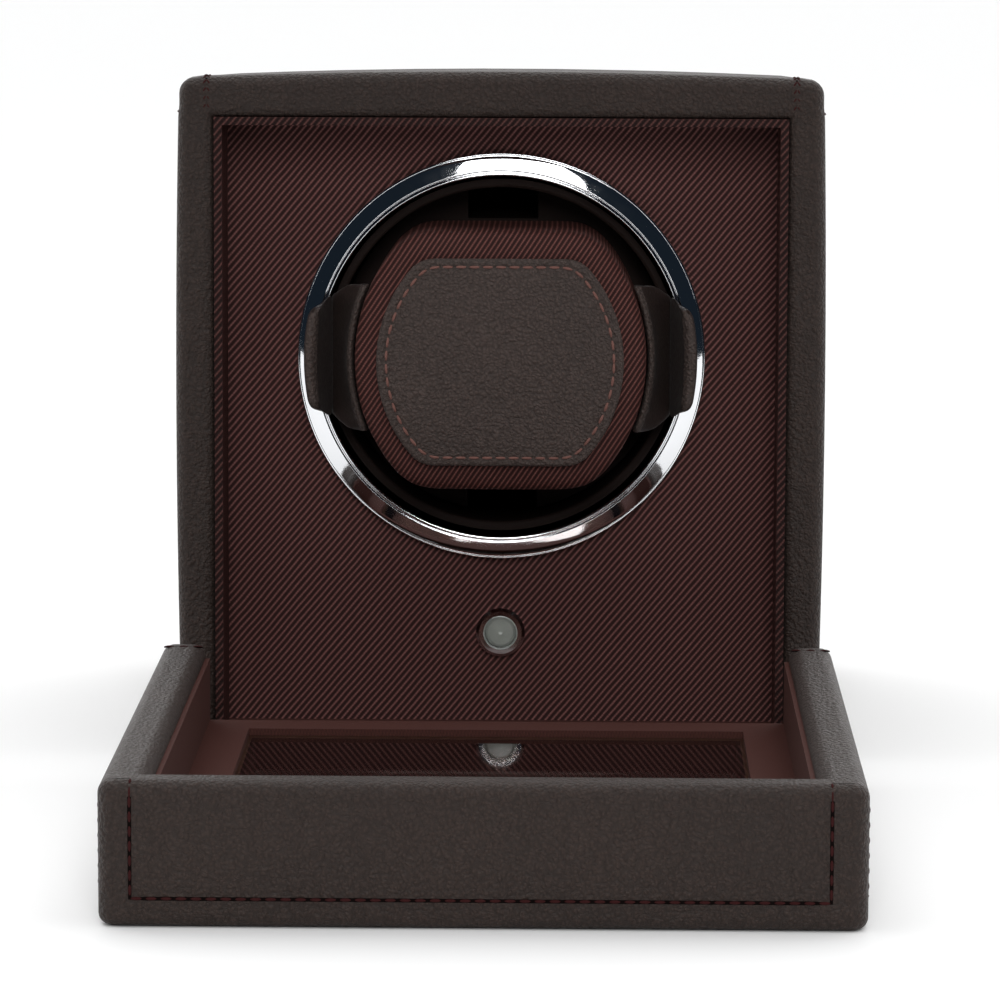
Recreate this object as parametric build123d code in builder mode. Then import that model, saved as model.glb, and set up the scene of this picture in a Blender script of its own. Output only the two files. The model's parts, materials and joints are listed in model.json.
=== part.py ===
from build123d import *
from math import acos, atan2, cos, degrees, radians, sin, sqrt
import os

# Single watch winder box with a fold-down glazed lid. Millimetres, +Z up.
# X runs across the box, Y from the front frame's face (Y = 0) to the back, and the
# origin is on the table below the middle of the front frame's face.
# The lid is drawn lying open in front of the box, its far edge on the table.

# ---- driving dimensions ---------------------------------------------------------
HALF_W = 73.0  # half of the lid's outer width
BODY_HALF_W = 72.5  # half of the body's width where its sides bow out most, at the front
BODY_DEPTH = 138.0  # front frame face to the back
FOOT_H = 2.6  # rubber feet
TOP_FRONT = 154.4  # crown of the top, at the front frame
TOP_BACK = 149.4  # crown of the top, at the back
HALF_W_BACK = 71.2
CROWN_TOP = 1.6  # how far the padded top swells above its edges
CROWN_SIDE = 1.0
CORNER_R = 3.5
SKIN = 0.8  # leather thickness
BOARD_H = 2.0  # base board
LINING = 0.6  # floor lining
OPEN_HALF = 63.7  # front opening, half width
OPEN_TOP = 144.1
RAIL_DEPTH = 8.0  # padded rails around the opening
LINER_T = 1.8  # twill-covered recess liner
RECESS = 18.0  # front frame face to the panel's face
PANEL_T = 3.0
FABRIC_T = 0.5
REAR_FRAME = 7.0  # thickness of the carcass's rear frame

HINGE_Y = -26.8
HINGE_Z = 4.2
LID_TILT = 0.99  # the open lid slopes down towards its far edge, degrees
LID_REACH = 150.2  # hinge axis to the far edge
LID_END = 2.2  # hinge axis to the lid's near edge
LID_UNDER = 1.6  # hinge axis to the lid's outer face
LID_RIM = 26.5  # hinge axis to the rim
LID_WALL = 9.4
LID_FLOOR = 5.4  # top of the lid's wooden floor, above the hinge axis
LID_LINING = 9.9  # top of the lid's lined border
GLASS_T = 3.0
WINDOW_HALF = 53.5
WINDOW_NEAR = 12.5  # hinge axis to the window's near edge
WINDOW_FAR = 131.0

AXIS_Z = 89.5  # winder axis, along Y
RING_R = 46.0
RING_BORE = 40.9
DRUM_R = 40.0
DRUM_BORE = 38.0
DRUM_FRONT = 20.0
DRUM_BACK = 60.0
HOUSING_BORE = 41.4
HOUSING_R = 43.5
HOUSING_BACK = 67.0
PLATE_T = 3.0
SHAFT_R = 3.0
RUN = 0.05  # radial running clearance

PULLEY_Y = 77.0  # middle of the belt
DRUM_PULLEY = 19.0  # belt radius on the drum's pulley
MOTOR_PULLEY = 5.0  # belt radius on the motor's pulley
MOTOR_X = 42.0
MOTOR_Z = 29.0
MOTOR_R = 12.5
BELT_R = 1.2

BUTTON_Z = 26.4
BUTTON_R = 3.4
BUTTON_RING_R = 5.55
BOARD_Y = 36.0  # control board's front face

PAD_Z = 90.1  # middle of the watch cuff
PAD_FRONT = -2.0
PAD_BACK = 34.0
PAD_SHAPE = (33.2, 29.6, 39.7, 7.0)  # half width, half height, radius of its sides, of its corners
FACE_SHAPE = (27.5, 23.1, 31.8, 4.0)
GRIP_X = 38.4
GRIP_Y = 12.4
GRIP_HALF_H = 16.7
GRIP_TIP = (42.2, 2.6)

CELL_R = 17.1  # D-size cell
CELL_LENGTH = 61.5
CELL_X = -22.0
CELL_Y = 110.0
CELL_Z = 28.0

BODY_FLOOR = FOOT_H + SKIN  # underside of the base board
BOARD_TOP = BODY_FLOOR + BOARD_H
FLOOR_TOP = BOARD_TOP + LINING
TONGUE_FRONT = HINGE_Y + 2.3
PANEL_BACK = RECESS + FABRIC_T + PANEL_T
CAVITY_HALF = OPEN_HALF + 0.1
CAVITY_TOP = OPEN_TOP + 0.1

LID = Plane(
    origin=(0, HINGE_Y, HINGE_Z),
    x_dir=(1, 0, 0),
    z_dir=(0, -sin(radians(LID_TILT)), cos(radians(LID_TILT))),
)

os.makedirs("parts", exist_ok=True)


# ---- helpers --------------------------------------------------------------------
def save(piece, name):
    piece.label = name
    export_step(piece, f"parts/{name}.step")


def facing(y):
    """Upright plane at depth y: local x is X, local y is Z, and -amount extrudes backwards."""
    return Plane(origin=(0, y, 0), x_dir=(1, 0, 0), z_dir=(0, -1, 0))


def block(low, high, mode=Mode.ADD):
    """Box between two corners, in the part being built."""
    size = [b - a for a, b in zip(low, high)]
    middle = [(a + b) / 2 for a, b in zip(low, high)]
    with BuildSketch(Plane.XY.offset(low[2])) as base:
        with Locations((middle[0], middle[1])):
            Rectangle(size[0], size[1])
    extrude(base.sketch, amount=size[2], mode=mode)


def lid_block(low, high, mode=Mode.ADD):
    """Box between two corners given in the lid's own frame."""
    with BuildSketch(LID.offset(low[2])) as base:
        with Locations(((low[0] + high[0]) / 2, (low[1] + high[1]) / 2)):
            Rectangle(high[0] - low[0], high[1] - low[1])
    extrude(base.sketch, amount=high[2] - low[2], mode=mode)


def round_bar(x, z, radius, front, back, mode=Mode.ADD):
    """Cylinder along Y."""
    with BuildSketch(facing(front)) as end:
        with Locations((x, z)):
            Circle(radius)
    extrude(end.sketch, amount=front - back, mode=mode)


def round_tube(x, z, outer, inner, front, back):
    with BuildSketch(facing(front)) as end:
        with Locations((x, z)):
            Circle(outer)
            Circle(inner, mode=Mode.SUBTRACT)
    extrude(end.sketch, amount=front - back)


def body_outline(inset, share, bottom):
    """Crowned outline of the body, share of the way from front (0) to back (1)."""
    half = BODY_HALF_W + (HALF_W_BACK - BODY_HALF_W) * share - inset
    top = TOP_FRONT + (TOP_BACK - TOP_FRONT) * share - inset
    edge = half - CROWN_SIDE
    shoulder = top - CROWN_TOP
    middle = (bottom + shoulder) / 2
    with BuildLine() as ring:
        Line((-edge, bottom), (edge, bottom))
        ThreePointArc((edge, bottom), (half, middle), (edge, shoulder))
        ThreePointArc((edge, shoulder), (0, top), (-edge, shoulder))
        ThreePointArc((-edge, shoulder), (-half, middle), (-edge, bottom))
    make_face(ring.edges())


def body_form(front, back, inset, bottom, mode=Mode.ADD):
    """Solid between two crowned outlines."""
    ends = []
    for y in (front, back):
        with BuildSketch(facing(y)) as outline:
            body_outline(inset, y / BODY_DEPTH, bottom)
            top_corners = outline.vertices().sort_by(Axis.Y)[-2:]
            fillet(top_corners, radius=CORNER_R - inset)
        ends.append(outline.sketch.faces()[0])
    loft(ends, mode=mode)


def soft_outline(half_w, half_h, side_r, corner_r, grow=0.0):
    """Disc-sided outline with straight top and bottom, about the cuff's middle."""
    shift = side_r - half_w
    with BuildSketch(mode=Mode.PRIVATE) as shape:
        with Locations((-shift, 0)):
            Circle(side_r)
        with Locations((shift, 0)):
            Circle(side_r, mode=Mode.INTERSECT)
        Rectangle(2 * half_w, 2 * half_h, mode=Mode.INTERSECT)
        fillet(shape.vertices(), radius=corner_r)
        if grow:
            offset(amount=grow)
    with Locations((0, PAD_Z)):
        add(shape.sketch)


# ---- body: leather, boards, rails ------------------------------------------------
REAR_HALF = 56.0
REAR_LOW = 14.0
REAR_HIGH = 132.0
REAR_STEP = 135.4
CARCASS_BACK = BODY_DEPTH - SKIN
LEAF_HALF = 15.0
LEAF_T = 0.8
LEAF_LENGTH = 12.5
HINGE_X = 42.0
KNUCKLE_R = 1.5
PIN_R = 0.7


def hinge_pockets():
    """Slots in the base for the two body leaves."""
    for x in (-HINGE_X, HINGE_X):
        low = (x - LEAF_HALF, HINGE_Y, HINGE_Z - LEAF_T / 2)
        high = (x + LEAF_HALF, HINGE_Y + LEAF_LENGTH, HINGE_Z + LEAF_T / 2)
        block(low, high, Mode.SUBTRACT)


with BuildPart() as leather_cover:
    body_form(RAIL_DEPTH, BODY_DEPTH, 0, FOOT_H)
    fillet(leather_cover.faces().sort_by(Axis.Y)[-1].edges(), radius=2.5)
    body_form(RAIL_DEPTH, CARCASS_BACK, SKIN, BODY_FLOOR, Mode.SUBTRACT)
    block((-REAR_HALF, BODY_DEPTH - 4, REAR_LOW), (REAR_HALF, BODY_DEPTH + 1, REAR_HIGH), Mode.SUBTRACT)
    edge = BODY_HALF_W - CROWN_SIDE
    block((-edge, TONGUE_FRONT, FOOT_H), (edge, RAIL_DEPTH, BOARD_TOP))
    inner = edge - SKIN
    block((-inner, TONGUE_FRONT + SKIN, BODY_FLOOR), (inner, RAIL_DEPTH, BOARD_TOP), Mode.SUBTRACT)
    hinge_pockets()
save(leather_cover.part, "leather_cover")

with BuildPart() as base_board:
    body_form(RAIL_DEPTH, CARCASS_BACK - REAR_FRAME, SKIN, BODY_FLOOR)
    block((-HALF_W, 0, BOARD_TOP), (HALF_W, BODY_DEPTH, TOP_FRONT), Mode.SUBTRACT)
    block((-inner, TONGUE_FRONT + SKIN, BODY_FLOOR), (inner, RAIL_DEPTH, BOARD_TOP))
    hinge_pockets()
save(base_board.part, "base_board")

with BuildPart() as carcass:
    body_form(RAIL_DEPTH, CARCASS_BACK, SKIN, BODY_FLOOR)
    block((-HALF_W, 0, 0), (HALF_W, CARCASS_BACK - REAR_FRAME, BOARD_TOP), Mode.SUBTRACT)
    cavity_back = CARCASS_BACK - REAR_FRAME
    block((-CAVITY_HALF, 0, BOARD_TOP), (CAVITY_HALF, cavity_back, CAVITY_TOP), Mode.SUBTRACT)
    block((-REAR_HALF, REAR_STEP, REAR_LOW), (REAR_HALF, BODY_DEPTH, REAR_HIGH), Mode.SUBTRACT)
    block((-50, REAR_STEP - 10, REAR_LOW + 5), (50, BODY_DEPTH, REAR_HIGH - 6), Mode.SUBTRACT)
    with BuildSketch(facing(REAR_STEP)):
        with GridLocations(2 * (REAR_HALF - 3), REAR_HIGH - REAR_LOW - 6, 2, 2):
            with Locations((0, (REAR_HIGH + REAR_LOW) / 2)):
                Circle(1.0)
    extrude(amount=5, mode=Mode.SUBTRACT)
save(carcass.part, "carcass")

PLATE_X = 40.0
PLATE_Z = 149.2
PLATE_R = 3.0


def frame_rail(region):
    """One mitred, padded rail of the front frame: the part of the whole frame inside region."""
    body_form(0, RAIL_DEPTH, 0, BOARD_TOP)
    block((-OPEN_HALF, -1, 0), (OPEN_HALF, RAIL_DEPTH + 1, OPEN_TOP), Mode.SUBTRACT)
    front = faces().sort_by(Axis.Y)[0]
    outline = front.edges()
    low = [e for e in outline if e.center().Z < BOARD_TOP + 0.01]
    across = [e for e in outline if e not in low]
    inside = [e for e in across if abs(e.center().X) < OPEN_HALF + 0.1 and e.center().Z < OPEN_TOP + 0.1]
    outside = [e for e in across if e not in inside]
    fillet(inside, radius=1.6)
    front_y = faces().sort_by(Axis.Y)[0].center().Y
    rim = [e for e in faces().sort_by(Axis.Y)[0].edges() if e.center().Y < front_y + 0.01]
    outer = [e for e in rim if abs(e.center().X) > OPEN_HALF + 5 or e.center().Z > OPEN_TOP + 5]
    fillet(outer if outer else outside, radius=3.0)
    with BuildSketch(facing(-1)) as piece:
        Polygon(*region, align=None)
    extrude(piece.sketch, amount=-RAIL_DEPTH - 2, mode=Mode.INTERSECT)


MITRE = 16.0
corner_x = OPEN_HALF + MITRE
corner_z = OPEN_TOP + MITRE
side_region = [(corner_x, 0), (OPEN_HALF - MITRE, 0), (OPEN_HALF - MITRE, OPEN_TOP - MITRE), (corner_x, corner_z)]

with BuildPart() as rail_right:
    frame_rail(side_region)
save(rail_right.part, "rail_right")

with BuildPart() as rail_left:
    frame_rail([(-x, z) for x, z in reversed(side_region)])
save(rail_left.part, "rail_left")

with BuildPart() as rail_top:
    inner_corner = OPEN_HALF - MITRE
    frame_rail(
        [
            (-inner_corner, OPEN_TOP - MITRE),
            (inner_corner, OPEN_TOP - MITRE),
            (corner_x, corner_z),
            (-corner_x, corner_z),
        ]
    )
    for x in (-PLATE_X, PLATE_X):
        round_bar(x, PLATE_Z, PLATE_R, 4, 6, Mode.SUBTRACT)
save(rail_top.part, "rail_top")

with BuildPart() as catch_plates:
    for x in (-PLATE_X, PLATE_X):
        round_bar(x, PLATE_Z, PLATE_R, 4, 6)
save(catch_plates.part, "catch_plates")

with BuildPart() as floor_lining:
    block((-OPEN_HALF + 0.3, TONGUE_FRONT + 1.5, BOARD_TOP), (OPEN_HALF - 0.3, RECESS, FLOOR_TOP))
save(floor_lining.part, "floor_lining")

with BuildPart() as recess_liner:
    block((-OPEN_HALF, 0.5, FLOOR_TOP), (OPEN_HALF, RECESS, OPEN_TOP))
    block((-OPEN_HALF + LINER_T, 0, 0), (OPEN_HALF - LINER_T, RECESS + 1, OPEN_TOP - LINER_T), Mode.SUBTRACT)
save(recess_liner.part, "recess_liner")

# ---- front panel, bezel, button --------------------------------------------------
PANEL_LOW = BOARD_TOP
SCREW_PCD_R = 47.0
SCREW_R = 1.3


def panel_sheet(front, back, ring_hole, button_hole):
    block((-OPEN_HALF, front, PANEL_LOW), (OPEN_HALF, back, OPEN_TOP))
    round_bar(0, AXIS_Z, ring_hole, front - 1, back + 1, Mode.SUBTRACT)
    round_bar(0, BUTTON_Z, button_hole, front - 1, back + 1, Mode.SUBTRACT)


def screw_ring():
    """Four screws that hold the drum housing behind the panel."""
    return PolarLocations(SCREW_PCD_R, 4, start_angle=45)


with BuildPart() as panel_fabric:
    panel_sheet(RECESS, RECESS + FABRIC_T, 42.4, 4.2)
save(panel_fabric.part, "panel_fabric")

with BuildPart() as panel_board:
    panel_sheet(RECESS + FABRIC_T, PANEL_BACK, 42.4, 4.2)
    with BuildSketch(facing(PANEL_BACK - 2)):
        with Locations((0, AXIS_Z)):
            with screw_ring():
                Circle(SCREW_R)
    extrude(amount=-3, mode=Mode.SUBTRACT)
save(panel_board.part, "panel_board")

RING_FRONT = 14.8
ring_profile = [
    (RING_R, RECESS),
    (RING_R, RING_FRONT + 1.4),
    (RING_R - 0.3, RING_FRONT + 1.1),
    (RING_R - 2.4, RING_FRONT + 0.55),
    (RING_BORE + 1.1, RING_FRONT + 0.25),
    (RING_BORE + 0.9, RING_FRONT + 0.5),
    (RING_BORE + 0.7, RING_FRONT + 0.1),
    (RING_BORE + 0.4, RING_FRONT),
    (RING_BORE + 0.1, RING_FRONT + 0.1),
    (RING_BORE, RING_FRONT + 0.4),
    (RING_BORE, PANEL_BACK + 2.5),
    (RING_BORE + 0.5, PANEL_BACK + 2.5),
    (RING_BORE + 0.5, PANEL_BACK),
    (RING_BORE + 1.4, PANEL_BACK - 0.3),
    (RING_BORE + 1.4, RECESS),
]


def spun(profile, centre_z, centre_x=0.0):
    """Solid of revolution about a line along Y; the profile is (radius, depth) pairs."""
    with BuildSketch(Plane.XY.offset(centre_z)) as half:
        with Locations((centre_x, 0)):
            Polygon(*profile, align=None)
    revolve(half.sketch, axis=Axis((centre_x, 0, centre_z), (0, 1, 0)))


with BuildPart() as bezel_ring:
    spun(ring_profile, AXIS_Z)
save(bezel_ring.part, "bezel_ring")

with BuildPart() as button_bezel:
    spun(
        [
            (BUTTON_R + 0.1, 27),
            (BUTTON_R + 0.1, 16.9),
            (BUTTON_R + 0.5, 16.3),
            (BUTTON_RING_R - 0.7, 16.3),
            (BUTTON_RING_R, 17),
            (BUTTON_RING_R, RECESS),
            (4.2, RECESS),
            (4.2, 27),
        ],
        BUTTON_Z,
    )
save(button_bezel.part, "button_bezel")

BUTTON_BORE = 2.1
with BuildPart() as power_button:
    spun(
        [
            (0, 16.8),
            (BUTTON_R - 0.6, 17.0),
            (BUTTON_R, 17.5),
            (BUTTON_R, 27.2),
            (4.6, 27.2),
            (4.6, 28.6),
            (BUTTON_BORE, 28.6),
            (BUTTON_BORE, 19.5),
            (0, 19.5),
        ],
        BUTTON_Z,
    )
    block((-1.2, 27.2, BUTTON_Z - 8), (1.2, 28.6, BUTTON_Z - 3.5))
save(power_button.part, "power_button")

with BuildPart() as button_spring:
    with BuildLine():
        turns = Helix(pitch=1.6, height=7.1, radius=2.9, center=(0, 28.75, BUTTON_Z), direction=(0, 1, 0))
    with BuildSketch(Plane(origin=turns @ 0, z_dir=turns % 0)):
        Circle(0.15)
    sweep(path=turns)
save(button_spring.part, "button_spring")

with BuildPart() as led:
    round_bar(0, BUTTON_Z, 1.5, 21.8, BOARD_Y)
    fillet(led.edges().filter_by(GeomType.CIRCLE).sort_by(Axis.Y)[0], radius=1.3)
save(led.part, "led")

with BuildPart() as tact_switch:
    block((-2.2, 32, BUTTON_Z - 9), (2.2, BOARD_Y, BUTTON_Z - 4.8))
    block((-1.0, 30.1, BUTTON_Z - 7.6), (1.0, 32, BUTTON_Z - 6.0))
save(tact_switch.part, "tact_switch")

with BuildPart() as control_board:
    block((-24, BOARD_Y, 9), (24, BOARD_Y + 1.6, 39))
    with BuildSketch(facing(BOARD_Y)):
        with GridLocations(42, 24, 2, 2):
            with Locations((0, 24)):
                Circle(1.3)
    extrude(amount=-2, mode=Mode.SUBTRACT)
    block((-18, BOARD_Y + 1.6, 26), (-8, BOARD_Y + 3.4, 36))
    block((8, BOARD_Y + 1.6, 14), (17, BOARD_Y + 7, 21))
save(control_board.part, "control_board")

with BuildPart() as board_posts:
    for x in (-21, 21):
        for z in (12, 36):
            round_tube(x, z, 2.6, 1.1, PANEL_BACK, BOARD_Y)
save(board_posts.part, "board_posts")

with BuildPart() as board_screws:
    for x in (-21, 21):
        for z in (12, 36):
            round_bar(x, z, 2.2, BOARD_Y + 1.6, BOARD_Y + 3.0)
            round_bar(x, z, 1.1, BOARD_Y - 5, BOARD_Y + 1.6)
save(board_screws.part, "board_screws")

# ---- winder mechanism ------------------------------------------------------------
BUSH_R = 5.0
PLATE_BACK = HOUSING_BACK + PLATE_T
plate_screws_at = [(SCREW_PCD_R - 8.5, angle) for angle in (20, 140, 260)]


def plate_screw_spots():
    return [(r * cos(radians(a)), AXIS_Z + r * sin(radians(a))) for r, a in plate_screws_at]


with BuildPart() as drum_housing:
    round_tube(0, AXIS_Z, HOUSING_R, HOUSING_BORE, PANEL_BACK, HOUSING_BACK)
    round_tube(0, AXIS_Z, 51, HOUSING_BORE, PANEL_BACK, PANEL_BACK + 2.5)
    round_tube(0, AXIS_Z, HOUSING_R, BUSH_R, HOUSING_BACK - 3, HOUSING_BACK)
    with BuildSketch(facing(PANEL_BACK)):
        with Locations((0, AXIS_Z)):
            with screw_ring():
                Circle(SCREW_R)
    extrude(amount=-4, mode=Mode.SUBTRACT)
    for x, z in plate_screw_spots():
        round_bar(x, z, 1.1, HOUSING_BACK - 4, HOUSING_BACK + 1, Mode.SUBTRACT)
save(drum_housing.part, "drum_housing")

with BuildPart() as housing_screws:
    for angle in (45, 135, 225, 315):
        x = SCREW_PCD_R * cos(radians(angle))
        z = AXIS_Z + SCREW_PCD_R * sin(radians(angle))
        round_bar(x, z, SCREW_R, PANEL_BACK - 2, PANEL_BACK + 2.5)
        round_bar(x, z, 2.6, PANEL_BACK + 2.5, PANEL_BACK + 4.3)
save(housing_screws.part, "housing_screws")

motor_gap = sqrt(MOTOR_X**2 + (AXIS_Z - MOTOR_Z) ** 2)
motor_angle = atan2(MOTOR_Z - AXIS_Z, MOTOR_X)
MOTOR_SCREW_OUT = 9.0
motor_screw_spots = [
    (MOTOR_X + side * MOTOR_SCREW_OUT * sin(motor_angle), MOTOR_Z - side * MOTOR_SCREW_OUT * cos(motor_angle))
    for side in (-1, 1)
]

with BuildPart() as rear_plate:
    with BuildSketch(facing(HOUSING_BACK)):
        with Locations((0, AXIS_Z)):
            Circle(HOUSING_R)
        with Locations((MOTOR_X, MOTOR_Z)):
            Circle(15)
        with Locations(Location((MOTOR_X * 0.62, AXIS_Z + (MOTOR_Z - AXIS_Z) * 0.62, 0), degrees(motor_angle))):
            Rectangle(60, 28)
        with Locations((0, AXIS_Z)):
            Circle(BUSH_R, mode=Mode.SUBTRACT)
        with Locations((MOTOR_X, MOTOR_Z)):
            Circle(4, mode=Mode.SUBTRACT)
        with Locations(*motor_screw_spots):
            Circle(1.1, mode=Mode.SUBTRACT)
        with Locations(*plate_screw_spots()):
            Circle(1.1, mode=Mode.SUBTRACT)
    extrude(amount=-PLATE_T)
save(rear_plate.part, "rear_plate")

with BuildPart() as plate_screws:
    for x, z in plate_screw_spots():
        round_bar(x, z, 1.1, HOUSING_BACK - 3, PLATE_BACK)
        round_bar(x, z, 2.2, PLATE_BACK, PLATE_BACK + 1.5)
save(plate_screws.part, "plate_screws")

with BuildPart() as drum_bush:
    round_tube(0, AXIS_Z, BUSH_R, SHAFT_R + RUN, HOUSING_BACK - 3.4, PLATE_BACK)
    round_tube(0, AXIS_Z, 7, SHAFT_R + RUN, PLATE_BACK, PLATE_BACK + 1.2)
save(drum_bush.part, "drum_bush")

with BuildPart() as drum_cup:
    round_tube(0, AXIS_Z, DRUM_R, DRUM_BORE, DRUM_FRONT, DRUM_BACK)
    round_tube(0, AXIS_Z, DRUM_R, SHAFT_R, DRUM_BACK - 3, DRUM_BACK)
    round_tube(0, AXIS_Z, 8, SHAFT_R, DRUM_BACK, DRUM_BACK + 3)
    fillet(drum_cup.edges().filter_by(GeomType.CIRCLE).sort_by(Axis.Y)[0], radius=0.8)
save(drum_cup.part, "drum_cup")

with BuildPart() as drum_shaft:
    round_bar(0, AXIS_Z, SHAFT_R, DRUM_BACK - 3, 83)
    chamfer(drum_shaft.edges().filter_by(GeomType.CIRCLE).sort_by(Axis.Y)[-1], length=0.5)
save(drum_shaft.part, "drum_shaft")

with BuildPart() as shaft_clip:
    round_tube(0, AXIS_Z, 5.6, SHAFT_R, PLATE_BACK + 1.5, PLATE_BACK + 2.3)
    block((-1.6, PLATE_BACK, AXIS_Z - 7), (1.6, PLATE_BACK + 3, AXIS_Z), Mode.SUBTRACT)
save(shaft_clip.part, "shaft_clip")


def pulley(x, z, belt_radius, bore, hub):
    """Grooved pulley; the groove leaves the belt a little room."""
    room = BELT_R + 0.25
    half = 3.0
    rim = belt_radius + 1.4
    round_tube(x, z, rim, bore, PULLEY_Y - half, PULLEY_Y + half)
    with BuildSketch(Plane.XY.offset(z)) as groove:
        with Locations((x + belt_radius, PULLEY_Y)):
            Circle(room)
        with Locations((x + belt_radius + 2, PULLEY_Y)):
            Rectangle(4, 2 * room)
    revolve(groove.sketch, axis=Axis((x, 0, z), (0, 1, 0)), mode=Mode.SUBTRACT)
    if hub:
        round_tube(x, z, hub, bore, PULLEY_Y + half, PULLEY_Y + half + 1.6)


with BuildPart() as drum_pulley:
    pulley(0, AXIS_Z, DRUM_PULLEY, SHAFT_R, 6.5)
save(drum_pulley.part, "drum_pulley")

with BuildPart() as motor_pulley:
    pulley(MOTOR_X, MOTOR_Z, MOTOR_PULLEY, 1.5, 0)
save(motor_pulley.part, "motor_pulley")

with BuildPart() as gear_motor:
    round_bar(MOTOR_X, MOTOR_Z, MOTOR_R, 52, HOUSING_BACK)
    round_bar(MOTOR_X, MOTOR_Z, 10, 34, 52)
    chamfer(gear_motor.edges().filter_by(GeomType.CIRCLE).sort_by(Axis.Y)[0], length=1.0)
    round_bar(MOTOR_X, MOTOR_Z, 1.5 + RUN, 56, HOUSING_BACK + 1, Mode.SUBTRACT)
    for x, z in motor_screw_spots:
        round_bar(x, z, 1.1, HOUSING_BACK - 4, HOUSING_BACK + 1, Mode.SUBTRACT)
save(gear_motor.part, "gear_motor")

with BuildPart() as motor_screws:
    for x, z in motor_screw_spots:
        round_bar(x, z, 1.1, HOUSING_BACK - 3.5, PLATE_BACK)
        round_bar(x, z, 2.1, PLATE_BACK, PLATE_BACK + 1.4)
save(motor_screws.part, "motor_screws")

with BuildPart() as motor_shaft:
    round_bar(MOTOR_X, MOTOR_Z, 1.5, 56.3, PULLEY_Y + 3.6)
save(motor_shaft.part, "motor_shaft")

with BuildPart() as drive_belt:
    spread = acos((DRUM_PULLEY - MOTOR_PULLEY) / motor_gap)

    def on_pulley(x, z, radius, angle):
        return (x + radius * cos(angle), z + radius * sin(angle))

    upper = motor_angle + spread
    lower = motor_angle - spread
    drum_up = on_pulley(0, AXIS_Z, DRUM_PULLEY, upper)
    drum_far = on_pulley(0, AXIS_Z, DRUM_PULLEY, motor_angle + radians(180))
    drum_low = on_pulley(0, AXIS_Z, DRUM_PULLEY, lower)
    motor_up = on_pulley(MOTOR_X, MOTOR_Z, MOTOR_PULLEY, upper)
    motor_far = on_pulley(MOTOR_X, MOTOR_Z, MOTOR_PULLEY, motor_angle)
    motor_low = on_pulley(MOTOR_X, MOTOR_Z, MOTOR_PULLEY, lower)
    with BuildLine(facing(PULLEY_Y)) as loop:
        ThreePointArc(drum_up, drum_far, drum_low)
        Line(drum_low, motor_low)
        ThreePointArc(motor_low, motor_far, motor_up)
        Line(motor_up, drum_up)
    with BuildSketch(Plane(origin=loop.wire() @ 0, z_dir=loop.wire() % 0)):
        Circle(BELT_R)
    sweep(path=loop.wire())
save(drive_belt.part, "drive_belt")

# ---- watch cuff ------------------------------------------------------------------
COVER_T = 1.2
with BuildPart() as cuff_cover:
    with BuildSketch(facing(PAD_FRONT)):
        soft_outline(*PAD_SHAPE)
    extrude(amount=PAD_FRONT - PAD_BACK)
    fillet(cuff_cover.faces().sort_by(Axis.Y)[0].edges(), radius=4.0)
    with BuildSketch(facing(PAD_FRONT + COVER_T)):
        soft_outline(*PAD_SHAPE, grow=-COVER_T)
    extrude(amount=PAD_FRONT + COVER_T - PAD_BACK, mode=Mode.SUBTRACT)
save(cuff_cover.part, "cuff_cover")

with BuildPart() as cuff_foam:
    with BuildSketch(facing(PAD_FRONT + COVER_T + 0.1)):
        soft_outline(*PAD_SHAPE, grow=-COVER_T - 0.1)
    extrude(amount=PAD_FRONT + COVER_T + 0.1 - PAD_BACK)
    fillet(cuff_foam.faces().sort_by(Axis.Y)[0].edges(), radius=4.0)
save(cuff_foam.part, "cuff_foam")

FACE_T = 1.6
with BuildPart() as cuff_face:
    with BuildSketch(facing(PAD_FRONT - FACE_T)):
        soft_outline(*FACE_SHAPE)
    extrude(amount=-FACE_T)
    fillet(cuff_face.faces().sort_by(Axis.Y)[0].edges(), radius=0.7)
save(cuff_face.part, "cuff_face")

CHASSIS_R = 37.4
with BuildPart() as cuff_chassis:
    round_bar(0, AXIS_Z, CHASSIS_R, PAD_BACK, PAD_BACK + 4)
    with BuildSketch(facing(PAD_BACK + 4)):
        with Locations((0, AXIS_Z)):
            Rectangle(44, 30)
            Rectangle(38, 24, mode=Mode.SUBTRACT)
    extrude(amount=-16)
    for side in (-1, 1):
        with BuildSketch(facing(PAD_BACK + 4)):
            with Locations((0, AXIS_Z + side * 34)):
                Rectangle(16, 8)
        extrude(amount=5, mode=Mode.SUBTRACT)
save(cuff_chassis.part, "cuff_chassis")


def cuff_side(side):
    """Leather-covered side of the cuff, with the cradle that its grip turns in."""
    inner_x = PAD_SHAPE[0] + 0.1
    with BuildSketch(Plane.XY.offset(PAD_Z - GRIP_HALF_H)) as section:
        Polygon(
            (side * inner_x, 2),
            (side * (inner_x + 1.6), 2),
            (side * (inner_x + 1.6), GRIP_Y - 1.2),
            (side * (GRIP_X - 1.0), GRIP_Y - 1.2),
            (side * (GRIP_X - 1.0), GRIP_Y + 2.6),
            (side * inner_x, GRIP_Y + 2.6),
            align=None,
        )
        with Locations((side * GRIP_X, GRIP_Y)):
            Circle(1.6, mode=Mode.SUBTRACT)
    extrude(section.sketch, amount=2 * GRIP_HALF_H)


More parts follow.
